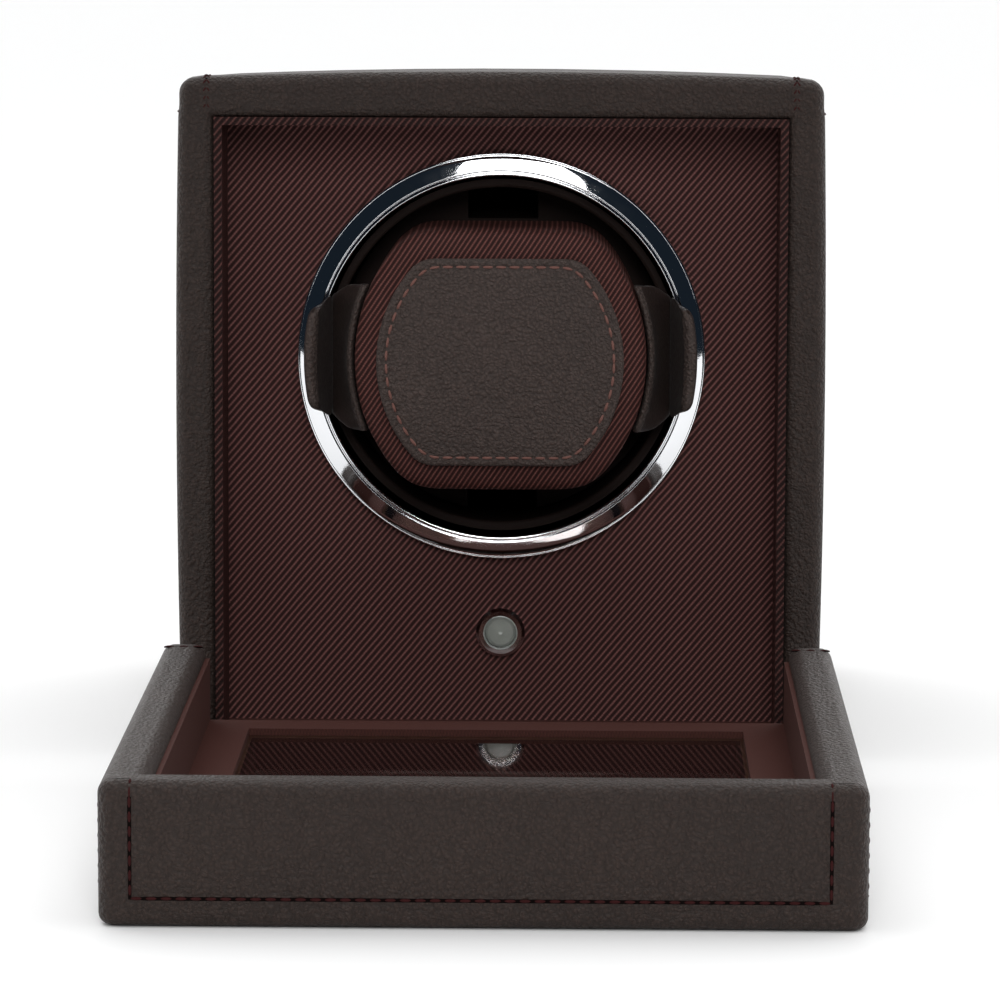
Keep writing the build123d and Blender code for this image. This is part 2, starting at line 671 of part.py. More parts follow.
def cuff_grip(side):
    """Flared leather-covered grip with a rolled rim, chamfered at its top and bottom."""
    lean = atan2(GRIP_TIP[0] - GRIP_X, GRIP_Y - GRIP_TIP[1])
    across = (cos(lean), sin(lean))
    root = 1.1
    tip = 1.5
    with BuildSketch(Plane.XY.offset(PAD_Z - GRIP_HALF_H)) as section:
        with Locations((side * GRIP_X, GRIP_Y)):
            Circle(1.5)
        Polygon(
            (side * (GRIP_X - root * across[0]), GRIP_Y - root * across[1]),
            (side * (GRIP_TIP[0] - tip * across[0]), GRIP_TIP[1] - tip * across[1]),
            (side * (GRIP_TIP[0] + tip * across[0]), GRIP_TIP[1] + tip * across[1]),
            (side * (GRIP_X + root * across[0]), GRIP_Y + root * across[1]),
            align=None,
        )
        with Locations((side * GRIP_TIP[0], GRIP_TIP[1])):
            Circle(tip)
    extrude(section.sketch, amount=2 * GRIP_HALF_H)
    low = PAD_Z - GRIP_HALF_H
    high = PAD_Z + GRIP_HALF_H
    taper = 5.0
    with BuildSketch(facing(-5)) as front_view:
        Polygon(
            (side * 33, low),
            (side * 36.6, low),
            (side * 40.6, low + taper),
            (side * 46, low + taper),
            (side * 46, high - taper),
            (side * 40.6, high - taper),
            (side * 36.6, high),
            (side * 33, high),
            align=None,
        )
    extrude(front_view.sketch, amount=-25, mode=Mode.INTERSECT)


for side, word in ((-1, "left"), (1, "right")):
    with BuildPart() as cuff_wing:
        cuff_side(side)
    save(cuff_wing.part, f"cuff_side_{word}")
    with BuildPart() as grip:
        cuff_grip(side)
    save(grip.part, f"cuff_grip_{word}")

# ---- power supply and rear -------------------------------------------------------
BOX_T = 1.5
BOX_LOW = (CELL_X - CELL_LENGTH / 2 - 5.5, CELL_Y - CELL_R - 2.2, CELL_Z - CELL_R - 2.0)
BOX_HIGH = (CELL_X + CELL_LENGTH / 2 + 5.5, REAR_STEP, CELL_Z + CELL_R + 2.0)
DOOR_HALF = 34.0
DOOR_LOW = 19.4
DOOR_HIGH = 45.0
DOOR_GAP = 0.3

with BuildPart() as battery_box:
    block(BOX_LOW, BOX_HIGH)
    low = [v + BOX_T for v in BOX_LOW]
    high = [v - BOX_T for v in BOX_HIGH]
    block(low, (high[0], REAR_STEP + 1, high[2]), Mode.SUBTRACT)
    block((BOX_LOW[0] - 1, CARCASS_BACK - REAR_FRAME, 0), (BOX_HIGH[0] + 1, REAR_STEP + 1, REAR_LOW + 5), Mode.SUBTRACT)
    block((-80, CARCASS_BACK - REAR_FRAME, 0), (-50, REAR_STEP + 1, 80), Mode.SUBTRACT)
save(battery_box.part, "battery_box")

with BuildPart() as battery_cell:
    with BuildSketch(Plane.YZ.offset(CELL_X - CELL_LENGTH / 2)):
        with Locations((CELL_Y, CELL_Z)):
            Circle(CELL_R)
    extrude(amount=CELL_LENGTH - 1.5)
    fillet(battery_cell.edges().filter_by(GeomType.CIRCLE), radius=1.0)
    with BuildSketch(Plane.YZ.offset(CELL_X + CELL_LENGTH / 2 - 1.5)):
        with Locations((CELL_Y, CELL_Z)):
            Circle(4.75)
    extrude(amount=1.5)
save(battery_cell.part, "battery_cell")

with BuildPart() as battery_contact:
    x = CELL_X + CELL_LENGTH / 2
    block((x, CELL_Y - 7, CELL_Z - 8), (x + 0.6, CELL_Y + 7, CELL_Z + 8))
save(battery_contact.part, "battery_contact")

with BuildPart() as battery_spring:
    start = (CELL_X - CELL_LENGTH / 2 - 0.45, CELL_Y, CELL_Z)
    with BuildLine():
        coil = Helix(pitch=1.3, height=3.1, radius=7.0, center=start, direction=(-1, 0, 0))
    with BuildSketch(Plane(origin=coil @ 0, z_dir=coil % 0)):
        Circle(0.4)
    sweep(path=coil)
save(battery_spring.part, "battery_spring")

JACK_X = 36.0
JACK_Z = 30.0
REAR_BACK = BODY_DEPTH - 0.4
with BuildPart() as rear_cover:
    fit = 0.2
    block((-REAR_HALF + fit, REAR_STEP, REAR_LOW + fit), (REAR_HALF - fit, REAR_BACK, REAR_HIGH - fit))
    fillet(rear_cover.edges().filter_by(Axis.Y), radius=2.0)
    low = (CELL_X - DOOR_HALF, REAR_STEP - 1, DOOR_LOW)
    high = (CELL_X + DOOR_HALF, REAR_BACK + 1, DOOR_HIGH)
    block(low, high, Mode.SUBTRACT)
    round_bar(JACK_X, JACK_Z, 4.6, REAR_STEP - 1, REAR_BACK + 1, Mode.SUBTRACT)
    with BuildSketch(facing(REAR_STEP)):
        with GridLocations(2 * (REAR_HALF - 3), REAR_HIGH - REAR_LOW - 6, 2, 2):
            with Locations((0, (REAR_HIGH + REAR_LOW) / 2)):
                Circle(1.0)
        with GridLocations(7, 30, 7, 1):
            with Locations((0, 100)):
                SlotOverall(30, 2.4, rotation=90)
    extrude(amount=-4, mode=Mode.SUBTRACT)
save(rear_cover.part, "rear_cover")

with BuildPart() as battery_door:
    gap = DOOR_GAP
    low = (CELL_X - DOOR_HALF + gap, REAR_STEP, DOOR_LOW + gap)
    high = (CELL_X + DOOR_HALF - gap, REAR_BACK, DOOR_HIGH - gap)
    block(low, high)
    for i in range(3):
        z = DOOR_HIGH - 5 - 1.6 * i
        block((CELL_X - 7, REAR_BACK - 0.6, z - 0.4), (CELL_X + 7, REAR_BACK + 1, z + 0.4), Mode.SUBTRACT)
save(battery_door.part, "battery_door")

with BuildPart() as rear_screws:
    for x in (-REAR_HALF + 3, REAR_HALF - 3):
        for z in (REAR_LOW + 3, REAR_HIGH - 3):
            round_bar(x, z, 1.0, REAR_STEP - 4, REAR_BACK)
            round_bar(x, z, 2.0, REAR_BACK, REAR_BACK + 0.4)
save(rear_screws.part, "rear_screws")

with BuildPart() as dc_socket:
    block((JACK_X - 5.5, 121, JACK_Z - 5.5), (JACK_X + 5.5, REAR_STEP, JACK_Z + 5.5))
    round_bar(JACK_X, JACK_Z, 4.5, REAR_STEP, REAR_BACK + 0.3)
    round_bar(JACK_X, JACK_Z, 2.8, REAR_BACK - 10, REAR_BACK + 1, Mode.SUBTRACT)
    round_bar(JACK_X, JACK_Z, 1.0, REAR_BACK - 11, REAR_BACK - 1)
save(dc_socket.part, "dc_socket")

with BuildPart() as feet:
    for y in (0, 124):
        with BuildSketch(Plane.XY):
            with Locations((0, y)):
                SlotOverall(122, 9)
        extrude(amount=FOOT_H)
save(feet.part, "feet")

# ---- lid -------------------------------------------------------------------------
LID_IN = HALF_W - LID_WALL
FAR_IN = LID_REACH - LID_WALL
MAGNET_Y = LID_REACH - 4.7
MAGNET_R = 3.0


def lid_pocket():
    """Slots for the two lid leaves."""
    for x in (-HINGE_X, HINGE_X):
        low = (x - LEAF_HALF, -LEAF_LENGTH, -LEAF_T / 2)
        high = (x + LEAF_HALF, 0, LEAF_T / 2)
        lid_block(low, high, Mode.SUBTRACT)


def lid_window(grow, mode=Mode.SUBTRACT):
    """The window's opening, right through the lid's floor."""
    low = (-WINDOW_HALF - grow, -WINDOW_FAR - grow, -LID_UNDER - 1)
    high = (WINDOW_HALF + grow, -WINDOW_NEAR + grow, LID_LINING + 1)
    lid_block(low, high, mode)


def lid_tray(inset, inner_half, far_in, rim_r, corner_r):
    """Three-walled tray open towards the hinge, its outside inset from the leather's face."""
    far = LID_REACH - inset
    near = LID_END + inset
    half = HALF_W - inset
    with BuildSketch(LID.offset(-LID_UNDER + inset)) as plan:
        with Locations((0, -(far + near) / 2)):
            Rectangle(2 * half, far - near)
        fillet(plan.vertices().sort_by(Axis.Y)[:2], radius=corner_r)
    extrude(plan.sketch, amount=LID_RIM + LID_UNDER - 2 * inset)
    under = faces().sort_by(Axis(LID.origin, LID.z_dir))[0]
    fillet([e for e in under.edges() if abs(e.center().Y - HINGE_Y) > LID_END + 1], radius=rim_r - 0.6)
    lid_block((-inner_half, -far_in, LID_FLOOR), (inner_half, 0, LID_RIM + 1), Mode.SUBTRACT)
    rim_face = faces().sort_by(Axis(LID.origin, LID.z_dir))[-1]
    fillet([e for e in rim_face.edges() if abs(e.center().Y - HINGE_Y) > LID_END + 1], radius=rim_r)


with BuildPart() as lid_core:
    lid_tray(SKIN, LID_IN + SKIN, FAR_IN + SKIN, 2.0, CORNER_R - SKIN)
    lid_window(-1.5 + SKIN)
    lid_pocket()
    with BuildSketch(LID.offset(22)):
        with Locations((-PLATE_X, -MAGNET_Y), (PLATE_X, -MAGNET_Y)):
            Circle(MAGNET_R)
    extrude(amount=5, mode=Mode.SUBTRACT)
save(lid_core.part, "lid_core")

with BuildPart() as lid_magnets:
    with BuildSketch(LID.offset(22)):
        with Locations((-PLATE_X, -MAGNET_Y), (PLATE_X, -MAGNET_Y)):
            Circle(MAGNET_R)
    extrude(amount=3)
save(lid_magnets.part, "lid_magnets")

with BuildPart() as lid_cover:
    lid_tray(0, LID_IN, FAR_IN, 2.8, CORNER_R)
    lid_window(-1.5)
    lid_pocket()
    with BuildPart(mode=Mode.PRIVATE) as filling:
        lid_tray(SKIN, LID_IN + SKIN, FAR_IN + SKIN, 2.0, CORNER_R - SKIN)
        lid_window(-1.5 + SKIN)
    add(filling.part, mode=Mode.SUBTRACT)
save(lid_cover.part, "lid_cover")

GLASS_HALF = WINDOW_HALF + 3.2
with BuildPart() as lid_glass:
    low = (-GLASS_HALF, -WINDOW_FAR - 3.2, LID_FLOOR)
    high = (GLASS_HALF, -WINDOW_NEAR + 3.2, LID_FLOOR + GLASS_T)
    lid_block(low, high)
save(lid_glass.part, "lid_glass")

LINER_IN = LID_IN - 1.0
with BuildPart() as lid_floor_lining:
    lid_block((-LID_IN, -FAR_IN, LID_FLOOR), (LID_IN, -LID_END - 0.6, LID_LINING))
    lid_window(0)
    low = (-GLASS_HALF, -WINDOW_FAR - 3.2, LID_FLOOR - 1)
    high = (GLASS_HALF, -WINDOW_NEAR + 3.2, LID_FLOOR + GLASS_T)
    lid_block(low, high, Mode.SUBTRACT)
save(lid_floor_lining.part, "lid_floor_lining")

with BuildPart() as lid_wall_lining:
    low = (-LID_IN, -FAR_IN, LID_LINING)
    lid_block(low, (LID_IN, -LID_END - 0.6, LID_RIM - 3.0))
    low = (-LINER_IN, -FAR_IN + 1.0, LID_LINING - 1)
    lid_block(low, (LINER_IN, 0, LID_RIM), Mode.SUBTRACT)
save(lid_wall_lining.part, "lid_wall_lining")

# ---- hinges ----------------------------------------------------------------------
KNUCKLE = 10.0
KNUCKLE_GAP = 0.2


def knuckle(x, start, end, bore):
    with BuildSketch(Plane.YZ.offset(x + start)) as outside:
        with Locations((HINGE_Y, HINGE_Z)):
            Circle(KNUCKLE_R)
    extrude(outside.sketch, amount=end - start)
    with BuildSketch(Plane.YZ.offset(x - LEAF_HALF - 1)) as hole:
        with Locations((HINGE_Y, HINGE_Z)):
            Circle(bore)
    extrude(hole.sketch, amount=2 * LEAF_HALF + 2, mode=Mode.SUBTRACT)


def notch(x, start, end):
    """Room for the other leaf's knuckles."""
    reach = KNUCKLE_R + 0.2
    low = (x + start, HINGE_Y - reach, HINGE_Z - reach)
    high = (x + end, HINGE_Y + reach, HINGE_Z + reach)
    block(low, high, Mode.SUBTRACT)


half = KNUCKLE / 2
ends = LEAF_HALF
with BuildPart() as hinge_body_leaves:
    for x in (-HINGE_X, HINGE_X):
        low = (x - LEAF_HALF, HINGE_Y, HINGE_Z - LEAF_T / 2)
        high = (x + LEAF_HALF, HINGE_Y + LEAF_LENGTH, HINGE_Z + LEAF_T / 2)
        block(low, high)
        notch(x, -half - KNUCKLE_GAP, half + KNUCKLE_GAP)
        knuckle(x, -ends, -half - KNUCKLE_GAP, PIN_R)
        knuckle(x, half + KNUCKLE_GAP, ends, PIN_R)
save(hinge_body_leaves.part, "hinge_body_leaves")

with BuildPart() as hinge_lid_leaves:
    for x in (-HINGE_X, HINGE_X):
        lid_block((x - LEAF_HALF, -LEAF_LENGTH, -LEAF_T / 2), (x + LEAF_HALF, 0, LEAF_T / 2))
        notch(x, -ends - 1, -half)
        notch(x, half, ends + 1)
        knuckle(x, -half, half, PIN_R + RUN)
save(hinge_lid_leaves.part, "hinge_lid_leaves")

with BuildPart() as hinge_pins:
    for x in (-HINGE_X, HINGE_X):
        with BuildSketch(Plane.YZ.offset(x - LEAF_HALF)):
            with Locations((HINGE_Y, HINGE_Z)):
                Circle(PIN_R)
        extrude(amount=2 * LEAF_HALF)
save(hinge_pins.part, "hinge_pins")
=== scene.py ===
import json
from math import atan2, cos, pi, radians, sin

import bmesh
import bpy
from mathutils import Matrix, Vector
from mathutils.bvhtree import BVHTree


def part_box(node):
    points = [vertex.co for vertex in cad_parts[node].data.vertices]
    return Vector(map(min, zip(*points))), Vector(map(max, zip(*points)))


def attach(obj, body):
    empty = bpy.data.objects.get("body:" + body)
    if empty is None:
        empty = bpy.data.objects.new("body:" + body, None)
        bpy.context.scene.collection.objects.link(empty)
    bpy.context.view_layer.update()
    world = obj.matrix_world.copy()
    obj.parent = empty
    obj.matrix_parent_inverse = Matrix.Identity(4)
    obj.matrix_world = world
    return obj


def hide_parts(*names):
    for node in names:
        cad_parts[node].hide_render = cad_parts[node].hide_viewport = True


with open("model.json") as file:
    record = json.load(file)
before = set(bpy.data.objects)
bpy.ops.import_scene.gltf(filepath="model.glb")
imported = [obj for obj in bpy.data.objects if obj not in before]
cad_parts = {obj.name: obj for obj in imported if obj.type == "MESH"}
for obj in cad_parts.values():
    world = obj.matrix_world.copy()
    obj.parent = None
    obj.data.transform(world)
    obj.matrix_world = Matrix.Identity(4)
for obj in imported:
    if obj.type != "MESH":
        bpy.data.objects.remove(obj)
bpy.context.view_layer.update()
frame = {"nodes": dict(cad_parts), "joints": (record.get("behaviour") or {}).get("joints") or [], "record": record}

MM = 0.001
nodes = frame["nodes"]


# ---- material helpers ---------------------------------------------------------------
def add_node(tree, kind, inputs=None, **settings):
    """A new node; each input is given a value, or joined to another node's output."""
    made = tree.nodes.new(kind)
    for key, value in settings.items():
        setattr(made, key, value)
    for key, value in (inputs or {}).items():
        if isinstance(value, bpy.types.NodeSocket):
            tree.links.new(value, made.inputs[key])
        else:
            made.inputs[key].default_value = value
    return made


def shade(color, factor, lift=0.0):
    """The colour made darker or lighter."""
    return tuple(c * factor + lift for c in color)


class Shader:
    """A node-based material with a Principled shader and short calls for its nodes."""

    def __init__(self, name, color, rough, **sockets):
        self.mat = bpy.data.materials.new(name)
        self.mat.use_nodes = True
        self.tree = self.mat.node_tree
        self.bsdf = self.tree.nodes["Principled BSDF"]
        self.set("Base Color", (*color, 1))
        self.set("Roughness", rough)
        for key, value in sockets.items():
            self.set(key.replace("_", " "), value)
        self.place = self.node("ShaderNodeTexCoord").outputs["Object"]

    def set(self, socket, value):
        self.bsdf.inputs[socket].default_value = value

    def node(self, kind, inputs=None, **settings):
        return add_node(self.tree, kind, inputs, **settings)

    def link(self, source, socket):
        self.tree.links.new(source, self.bsdf.inputs[socket])

    def math(self, operation, a, b=0.0):
        return self.node("ShaderNodeMath", {0: a, 1: b}, operation=operation).outputs[0]

    def noise(self, scale, detail=2.0, rough=0.5):
        put = {"Vector": self.place, "Scale": scale, "Detail": detail, "Roughness": rough}
        return self.node("ShaderNodeTexNoise", put).outputs["Fac"]

    def cells(self, scale, feature="F1", smooth=None, at=None):
        put = {"Vector": at or self.place, "Scale": scale}
        made = self.node("ShaderNodeTexVoronoi", put, feature=feature)
        if smooth is not None:
            made.inputs["Smoothness"].default_value = smooth
        return made.outputs["Distance"]

    def along(self, direction):
        """Distance along a direction, times the direction's length."""
        put = {0: self.place, 1: direction}
        return self.node("ShaderNodeVectorMath", put, operation="DOT_PRODUCT").outputs["Value"]

    def ramp(self, value, *stops):
        """Colour ramp; each stop is (place, grey level) or (place, colour)."""
        made = self.node("ShaderNodeValToRGB", {"Fac": value})
        points = made.color_ramp.elements
        while len(points) < len(stops):
            points.new(0.5)
        for point, (place, color) in zip(points, stops):
            point.position = place
            if isinstance(color, (int, float)):
                color = (color, color, color)
            point.color = (*color, 1)
        return made.outputs["Color"]

    def mix(self, share, a, b):
        """Colour between a and b, each a colour or a node's output."""
        a, b = [end if isinstance(end, bpy.types.NodeSocket) else (*end, 1) for end in (a, b)]
        return self.node("ShaderNodeMix", {0: share, 6: a, 7: b}, data_type="RGBA").outputs[2]

    def bump(self, height, distance):
        put = {"Height": height, "Distance": distance, "Strength": 1.0}
        self.link(self.node("ShaderNodeBump", put).outputs["Normal"], "Normal")


def leather(name, color, rough, grain, depth, edge=0.25):
    """Fine pebble grain: rounded cells of uneven size with creases between them."""
    s = Shader(name, color, rough, Specular_IOR_Level=0.26)
    s.set("Sheen Weight", 0.03)
    s.set("Sheen Roughness", 0.5)
    # the cells are bent a little, so that they don't lie in a clean net
    warp = s.node("ShaderNodeTexNoise", {"Vector": s.place, "Scale": 260.0, "Detail": 2.0}).outputs["Color"]
    bent = s.node("ShaderNodeVectorMath", {0: warp, 1: (0.5, 0.5, 0.5)}, operation="SUBTRACT").outputs[0]
    bent = s.node("ShaderNodeVectorMath", {0: bent, "Scale": 0.0016}, operation="SCALE").outputs[0]
    at = s.node("ShaderNodeVectorMath", {0: s.place, 1: bent}, operation="ADD").outputs[0]
    pebbles = s.cells(grain, "SMOOTH_F1", 0.35, at)
    small = s.cells(grain * 2.3, at=at)
    relief = s.math("ADD", s.math("MULTIPLY", pebbles, -1.0), s.math("MULTIPLY", small, -0.35))
    fine = s.math("MULTIPLY", s.noise(4200.0, 2.0), 0.18)
    s.bump(s.math("ADD", relief, fine), depth)
    # broad patches of tone, then painted shade darkening the creases between the pebbles, then a painted highlight
    # lightening each pebble's crown
    broad = s.ramp(s.noise(38.0, 3.0), (0.3, 0.0), (0.75, 1.0))
    tone = s.mix(broad, shade(color, 0.86), shade(color, 1.14))
    # painted shade: the creases between the pebbles are darkened
    creases = s.math("ADD", pebbles, s.math("MULTIPLY", s.noise(700.0, 3.0), 0.25))
    tone = s.mix(s.ramp(creases, (0.46, 0.0), (0.80, 0.55)), tone, shade(color, 0.45))
    # painted highlight: each pebble's crown is lightened; edge sets how strongly
    top_highlight = s.ramp(pebbles, (0.05, edge * 1.8), (0.42, 0.0))
    s.link(s.mix(top_highlight, tone, shade(color, 1.6, 0.004)), "Base Color")
    s.link(s.ramp(s.noise(900.0, 3.0), (0.3, rough - 0.05), (0.7, rough + 0.07)), "Roughness")
    return s.mat


def twill(name, dark, light, slope=50.0, pitch=1.15, across=0.45):
    """Twill with raised diagonal ribs, pitch mm apart, each rib carrying a painted highlight in the pale colour;
    across carries them round onto side faces.
    """
    s = Shader(name, dark, 0.7, Specular_IOR_Level=0.14)
    s.set("Sheen Weight", 0.02)
    s.set("Sheen Roughness", 0.4)
    s.set("Sheen Tint", (*[min(1, c * 6) for c in light], 1))
    a = radians(slope)
    step = 1.0 / (pitch * MM)
    run = s.along((sin(a) * step, across * step, -cos(a) * step))
    wander = s.math("MULTIPLY", s.noise(90.0, 2.0), 0.35)
    run = s.math("ADD", run, wander)
    wave = s.math("FRACT", run)
    rib = s.ramp(wave, (0.0, 0.10), (0.30, 0.03), (0.50, 0.22), (0.68, 1.0), (0.78, 0.85), (0.96, 0.12))
    thread = s.along((cos(a) * step * 1.9, step * 0.8, sin(a) * step * 1.9))
    thread = s.math("ADD", s.math("MULTIPLY", thread, pi), s.math("MULTIPLY", wander, 3.0))
    thread = s.math("ABSOLUTE", s.math("SINE", thread))
    fuzz = s.ramp(s.noise(2600.0, 3.0, 0.7), (0.25, 0.55), (0.75, 1.0))
    rib_threads = s.math("MULTIPLY", rib, s.ramp(thread, (0.0, 0.62), (0.5, 1.0)))
    line = s.math("MULTIPLY", rib_threads, fuzz)
    # the weave's diagonal pattern, with a painted highlight: the pale colour along each rib stands for the sheen
    # of its threads
    s.link(s.mix(line, dark, light), "Base Color")
    s.bump(s.math("ADD", line, s.math("MULTIPLY", thread, 0.18)), 0.00012)
    s.link(s.ramp(rib, (0.0, 0.75), (1.0, 0.5)), "Roughness")
    return s.mat


def satin(name, color):
    """Fine short-napped lining."""
    s = Shader(name, color, 0.7, Specular_IOR_Level=0.12)
    s.set("Sheen Weight", 0.02)
    s.set("Sheen Roughness", 0.35)
    s.set("Sheen Tint", (0.9, 0.6, 0.55, 1))
    warp = s.math("SINE", s.along((9000, 2000, 700)))
    weft = s.math("SINE", s.along((900, 9000, 3000)))
    weave = s.math("MULTIPLY", warp, weft)
    nap = s.math("ADD", s.math("MULTIPLY", weave, 0.25), s.noise(3000.0, 3.0, 0.7))
    raised = s.ramp(nap, (0.25, 0.0), (0.8, 1.0))
    s.link(s.mix(raised, shade(color, 0.75), shade(color, 1.3)), "Base Color")
    s.bump(nap, 0.00005)
    return s.mat


def metal(name, color, rough, scratch=0.02, metallic=1.0):
    """Metal with faint smears in its polish."""
    s = Shader(name, color, rough, Metallic=metallic)
    smear = s.noise(420.0, 4.0, 0.6)
    s.link(s.ramp(smear, (0.3, max(0.02, rough - scratch)), (0.8, rough + scratch)), "Roughness")
    s.bump(s.noise(2520.0, 2.0), 0.000002)
    return s.mat


def plastic(name, color, rough, depth=0.00001, shine=0.5):
    """Finely speckled surface: moulded plastic, rubber, board, foam and thread."""
    s = Shader(name, color, rough, Specular_IOR_Level=shine)
    speck = s.noise(2400.0, 3.0)
    s.bump(speck, depth)
    s.link(s.mix(s.noise(60.0), shade(color, 0.85), shade(color, 1.15)), "Base Color")
    s.link(s.ramp(speck, (0.3, rough - 0.06), (0.7, rough + 0.06)), "Roughness")
    return s.mat


LEATHER = leather("leather_dark_brown", (0.0272, 0.0160, 0.0122), 0.50, grain=1300, depth=0.00036)
# the cuff face's own leather; on the grips' forward rims its lighter colour is also a painted highlight
LEATHER_FINE_AND_HIGHLIGHT = leather("leather_cuff_face_and_highlight", (0.056, 0.0385, 0.033), 0.50, grain=1450, depth=0.00036)
# darker smooth leather for the grips and the cuff's sides, its own colour darkened in part as painted shade
LEATHER_SMOOTH_AND_SHADE = leather("leather_smooth_grip_and_shade", (0.020, 0.0125, 0.0105), 0.38,
                         grain=1700, depth=0.00003, edge=0.1)
TWILL = twill("twill_panel", (0.014, 0.0046, 0.0040), (0.290, 0.120, 0.110))
# painted shade: a darker copy of the panel's twill for the liner of the recess, which lies in shade behind the
# frame
TWILL_RECESS_SHADE = twill("twill_liner_painted_shade", (0.006, 0.0018, 0.0016), (0.120, 0.046, 0.040))
TWILL_PAD = twill("twill_cushion", (0.013, 0.0038, 0.0033), (0.205, 0.074, 0.062),
                  slope=56.0, pitch=0.98, across=0.0)
LINING = satin("lining_satin", (0.056, 0.0200, 0.0160))
CHROME = metal("chrome_polished", (0.80, 0.81, 0.83), 0.045)
STEEL = metal("steel_satin", (0.55, 0.55, 0.56), 0.32, 0.08)
BRASS = metal("brass_turned", (0.72, 0.50, 0.20), 0.25, 0.06)
BLACK = plastic("plastic_black", (0.016, 0.0095, 0.0080), 0.7, shine=0.12)
RUBBER = plastic("rubber_black", (0.014, 0.014, 0.014), 0.75, 0.00003)
BOARD = plastic("board_fibre", (0.24, 0.16, 0.10), 0.8, 0.00006)
BOARD_EDGE = plastic("board_stained_edge", (0.018, 0.010, 0.008), 0.8, 0.00006, shine=0.2)
FOAM = plastic("foam_grey", (0.10, 0.10, 0.10), 0.9, 0.0002)
PCB = plastic("board_solder_mask", (0.012, 0.075, 0.030), 0.3)
JACKET = metal("cell_jacket", (0.05, 0.055, 0.065), 0.35, 0.05, 0.6)
THREAD_DARK = plastic("thread_dark_red", (0.034, 0.0075, 0.0075), 0.8, 0.00004, shine=0.1)
THREAD_TAN = plastic("thread_tan", (0.17, 0.080, 0.066), 0.7, 0.00004, shine=0.2)
# painted shadow: the near-black colour laid along the seams' grooves
SEAM_SHADOW = plastic("seam_shadow", (0.0035, 0.0018, 0.0016), 0.9, shine=0.05)

# glass with a dark brown tint, which makes the window look dark
glass = Shader("glass_brown_tinted", (0.44, 0.32, 0.29), 0.03, Transmission_Weight=1.0, IOR=1.62)
glass.bump(glass.noise(30.0), 0.000001)
GLASS = glass.mat

lens = Shader("lens_frosted", (0.62, 0.66, 0.60), 0.25, Transmission_Weight=0.6, IOR=1.46)
lens.bump(lens.cells(2200.0), 0.00002)
lens.link(lens.mix(lens.noise(500.0), (0.55, 0.60, 0.54), (0.70, 0.72, 0.66)), "Base Color")
LENS = lens.mat

FINISH = {
    "leather": LEATHER,
    "board": BOARD,
    "twill": TWILL,
    "lining": LINING,
    "glass": GLASS,
    "chrome": CHROME,
    "steel": STEEL,
    "brass": BRASS,
    "black_plastic": BLACK,
    "translucent_plastic": LENS,
    "foam": FOAM,
    "circuit_board": PCB,
    "rubber": RUBBER,
    "cell_jacket": JACKET,
}


def paint(obj, mat):
    """Give all of a CAD node's slots one material."""
    if not obj.material_slots:
        obj.data.materials.append(mat)
    for entry in obj.material_slots:
        entry.material = mat


slots = {entry["node"]: entry["material_slot"] for entry in frame["record"]["subparts"]}
for name, obj in nodes.items():
    paint(obj, FINISH[slots[name]])
# the recess liner takes the darker copy of the twill as painted shade
paint(nodes["recess_liner"], TWILL_RECESS_SHADE)
paint(nodes["base_board"], BOARD_EDGE)


# ---- mesh helpers -------------------------------------------------------------------
def make(name, verts, faces, mat, body, smooth=True):
    """A mesh piece that rides on a body and has one material and one slot."""
    mesh = bpy.data.meshes.new(name)
    mesh.from_pydata([Vector(v) for v in verts], [], faces)
    obj = bpy.data.objects.new(name, mesh)
    bpy.context.collection.objects.link(obj)
    bm = bmesh.new()
    bm.from_mesh(mesh)
    bmesh.ops.remove_doubles(bm, verts=bm.verts, dist=1e-7)
    bmesh.ops.recalc_face_normals(bm, faces=bm.faces)
    bm.to_mesh(mesh)
    bm.free()
    for polygon in mesh.polygons:
        polygon.use_smooth = smooth
    mesh.materials.append(mat)
    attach(obj, body)
    return obj


def subdivide(obj, levels):
    mod = obj.modifiers.new("rounded", "SUBSURF")
    mod.levels = mod.render_levels = levels


def tube_between(rings, closed=False):
    """Verts and faces of a skin through rings of equal length, with capped ends unless closed."""
    verts = [point for ring in rings for point in ring]
    count = len(rings[0])
    faces = []
    last = len(rings) if closed else len(rings) - 1
    for i in range(last):
        j = (i + 1) % len(rings)
        for k in range(count):
            n = (k + 1) % count
            faces.append((i * count + k, i * count + n, j * count + n, j * count + k))
    if not closed:
        faces.append(tuple(range(count - 1, -1, -1)))
        base = (len(rings) - 1) * count
        faces.append(tuple(base + k for k in range(count)))
    return verts, faces


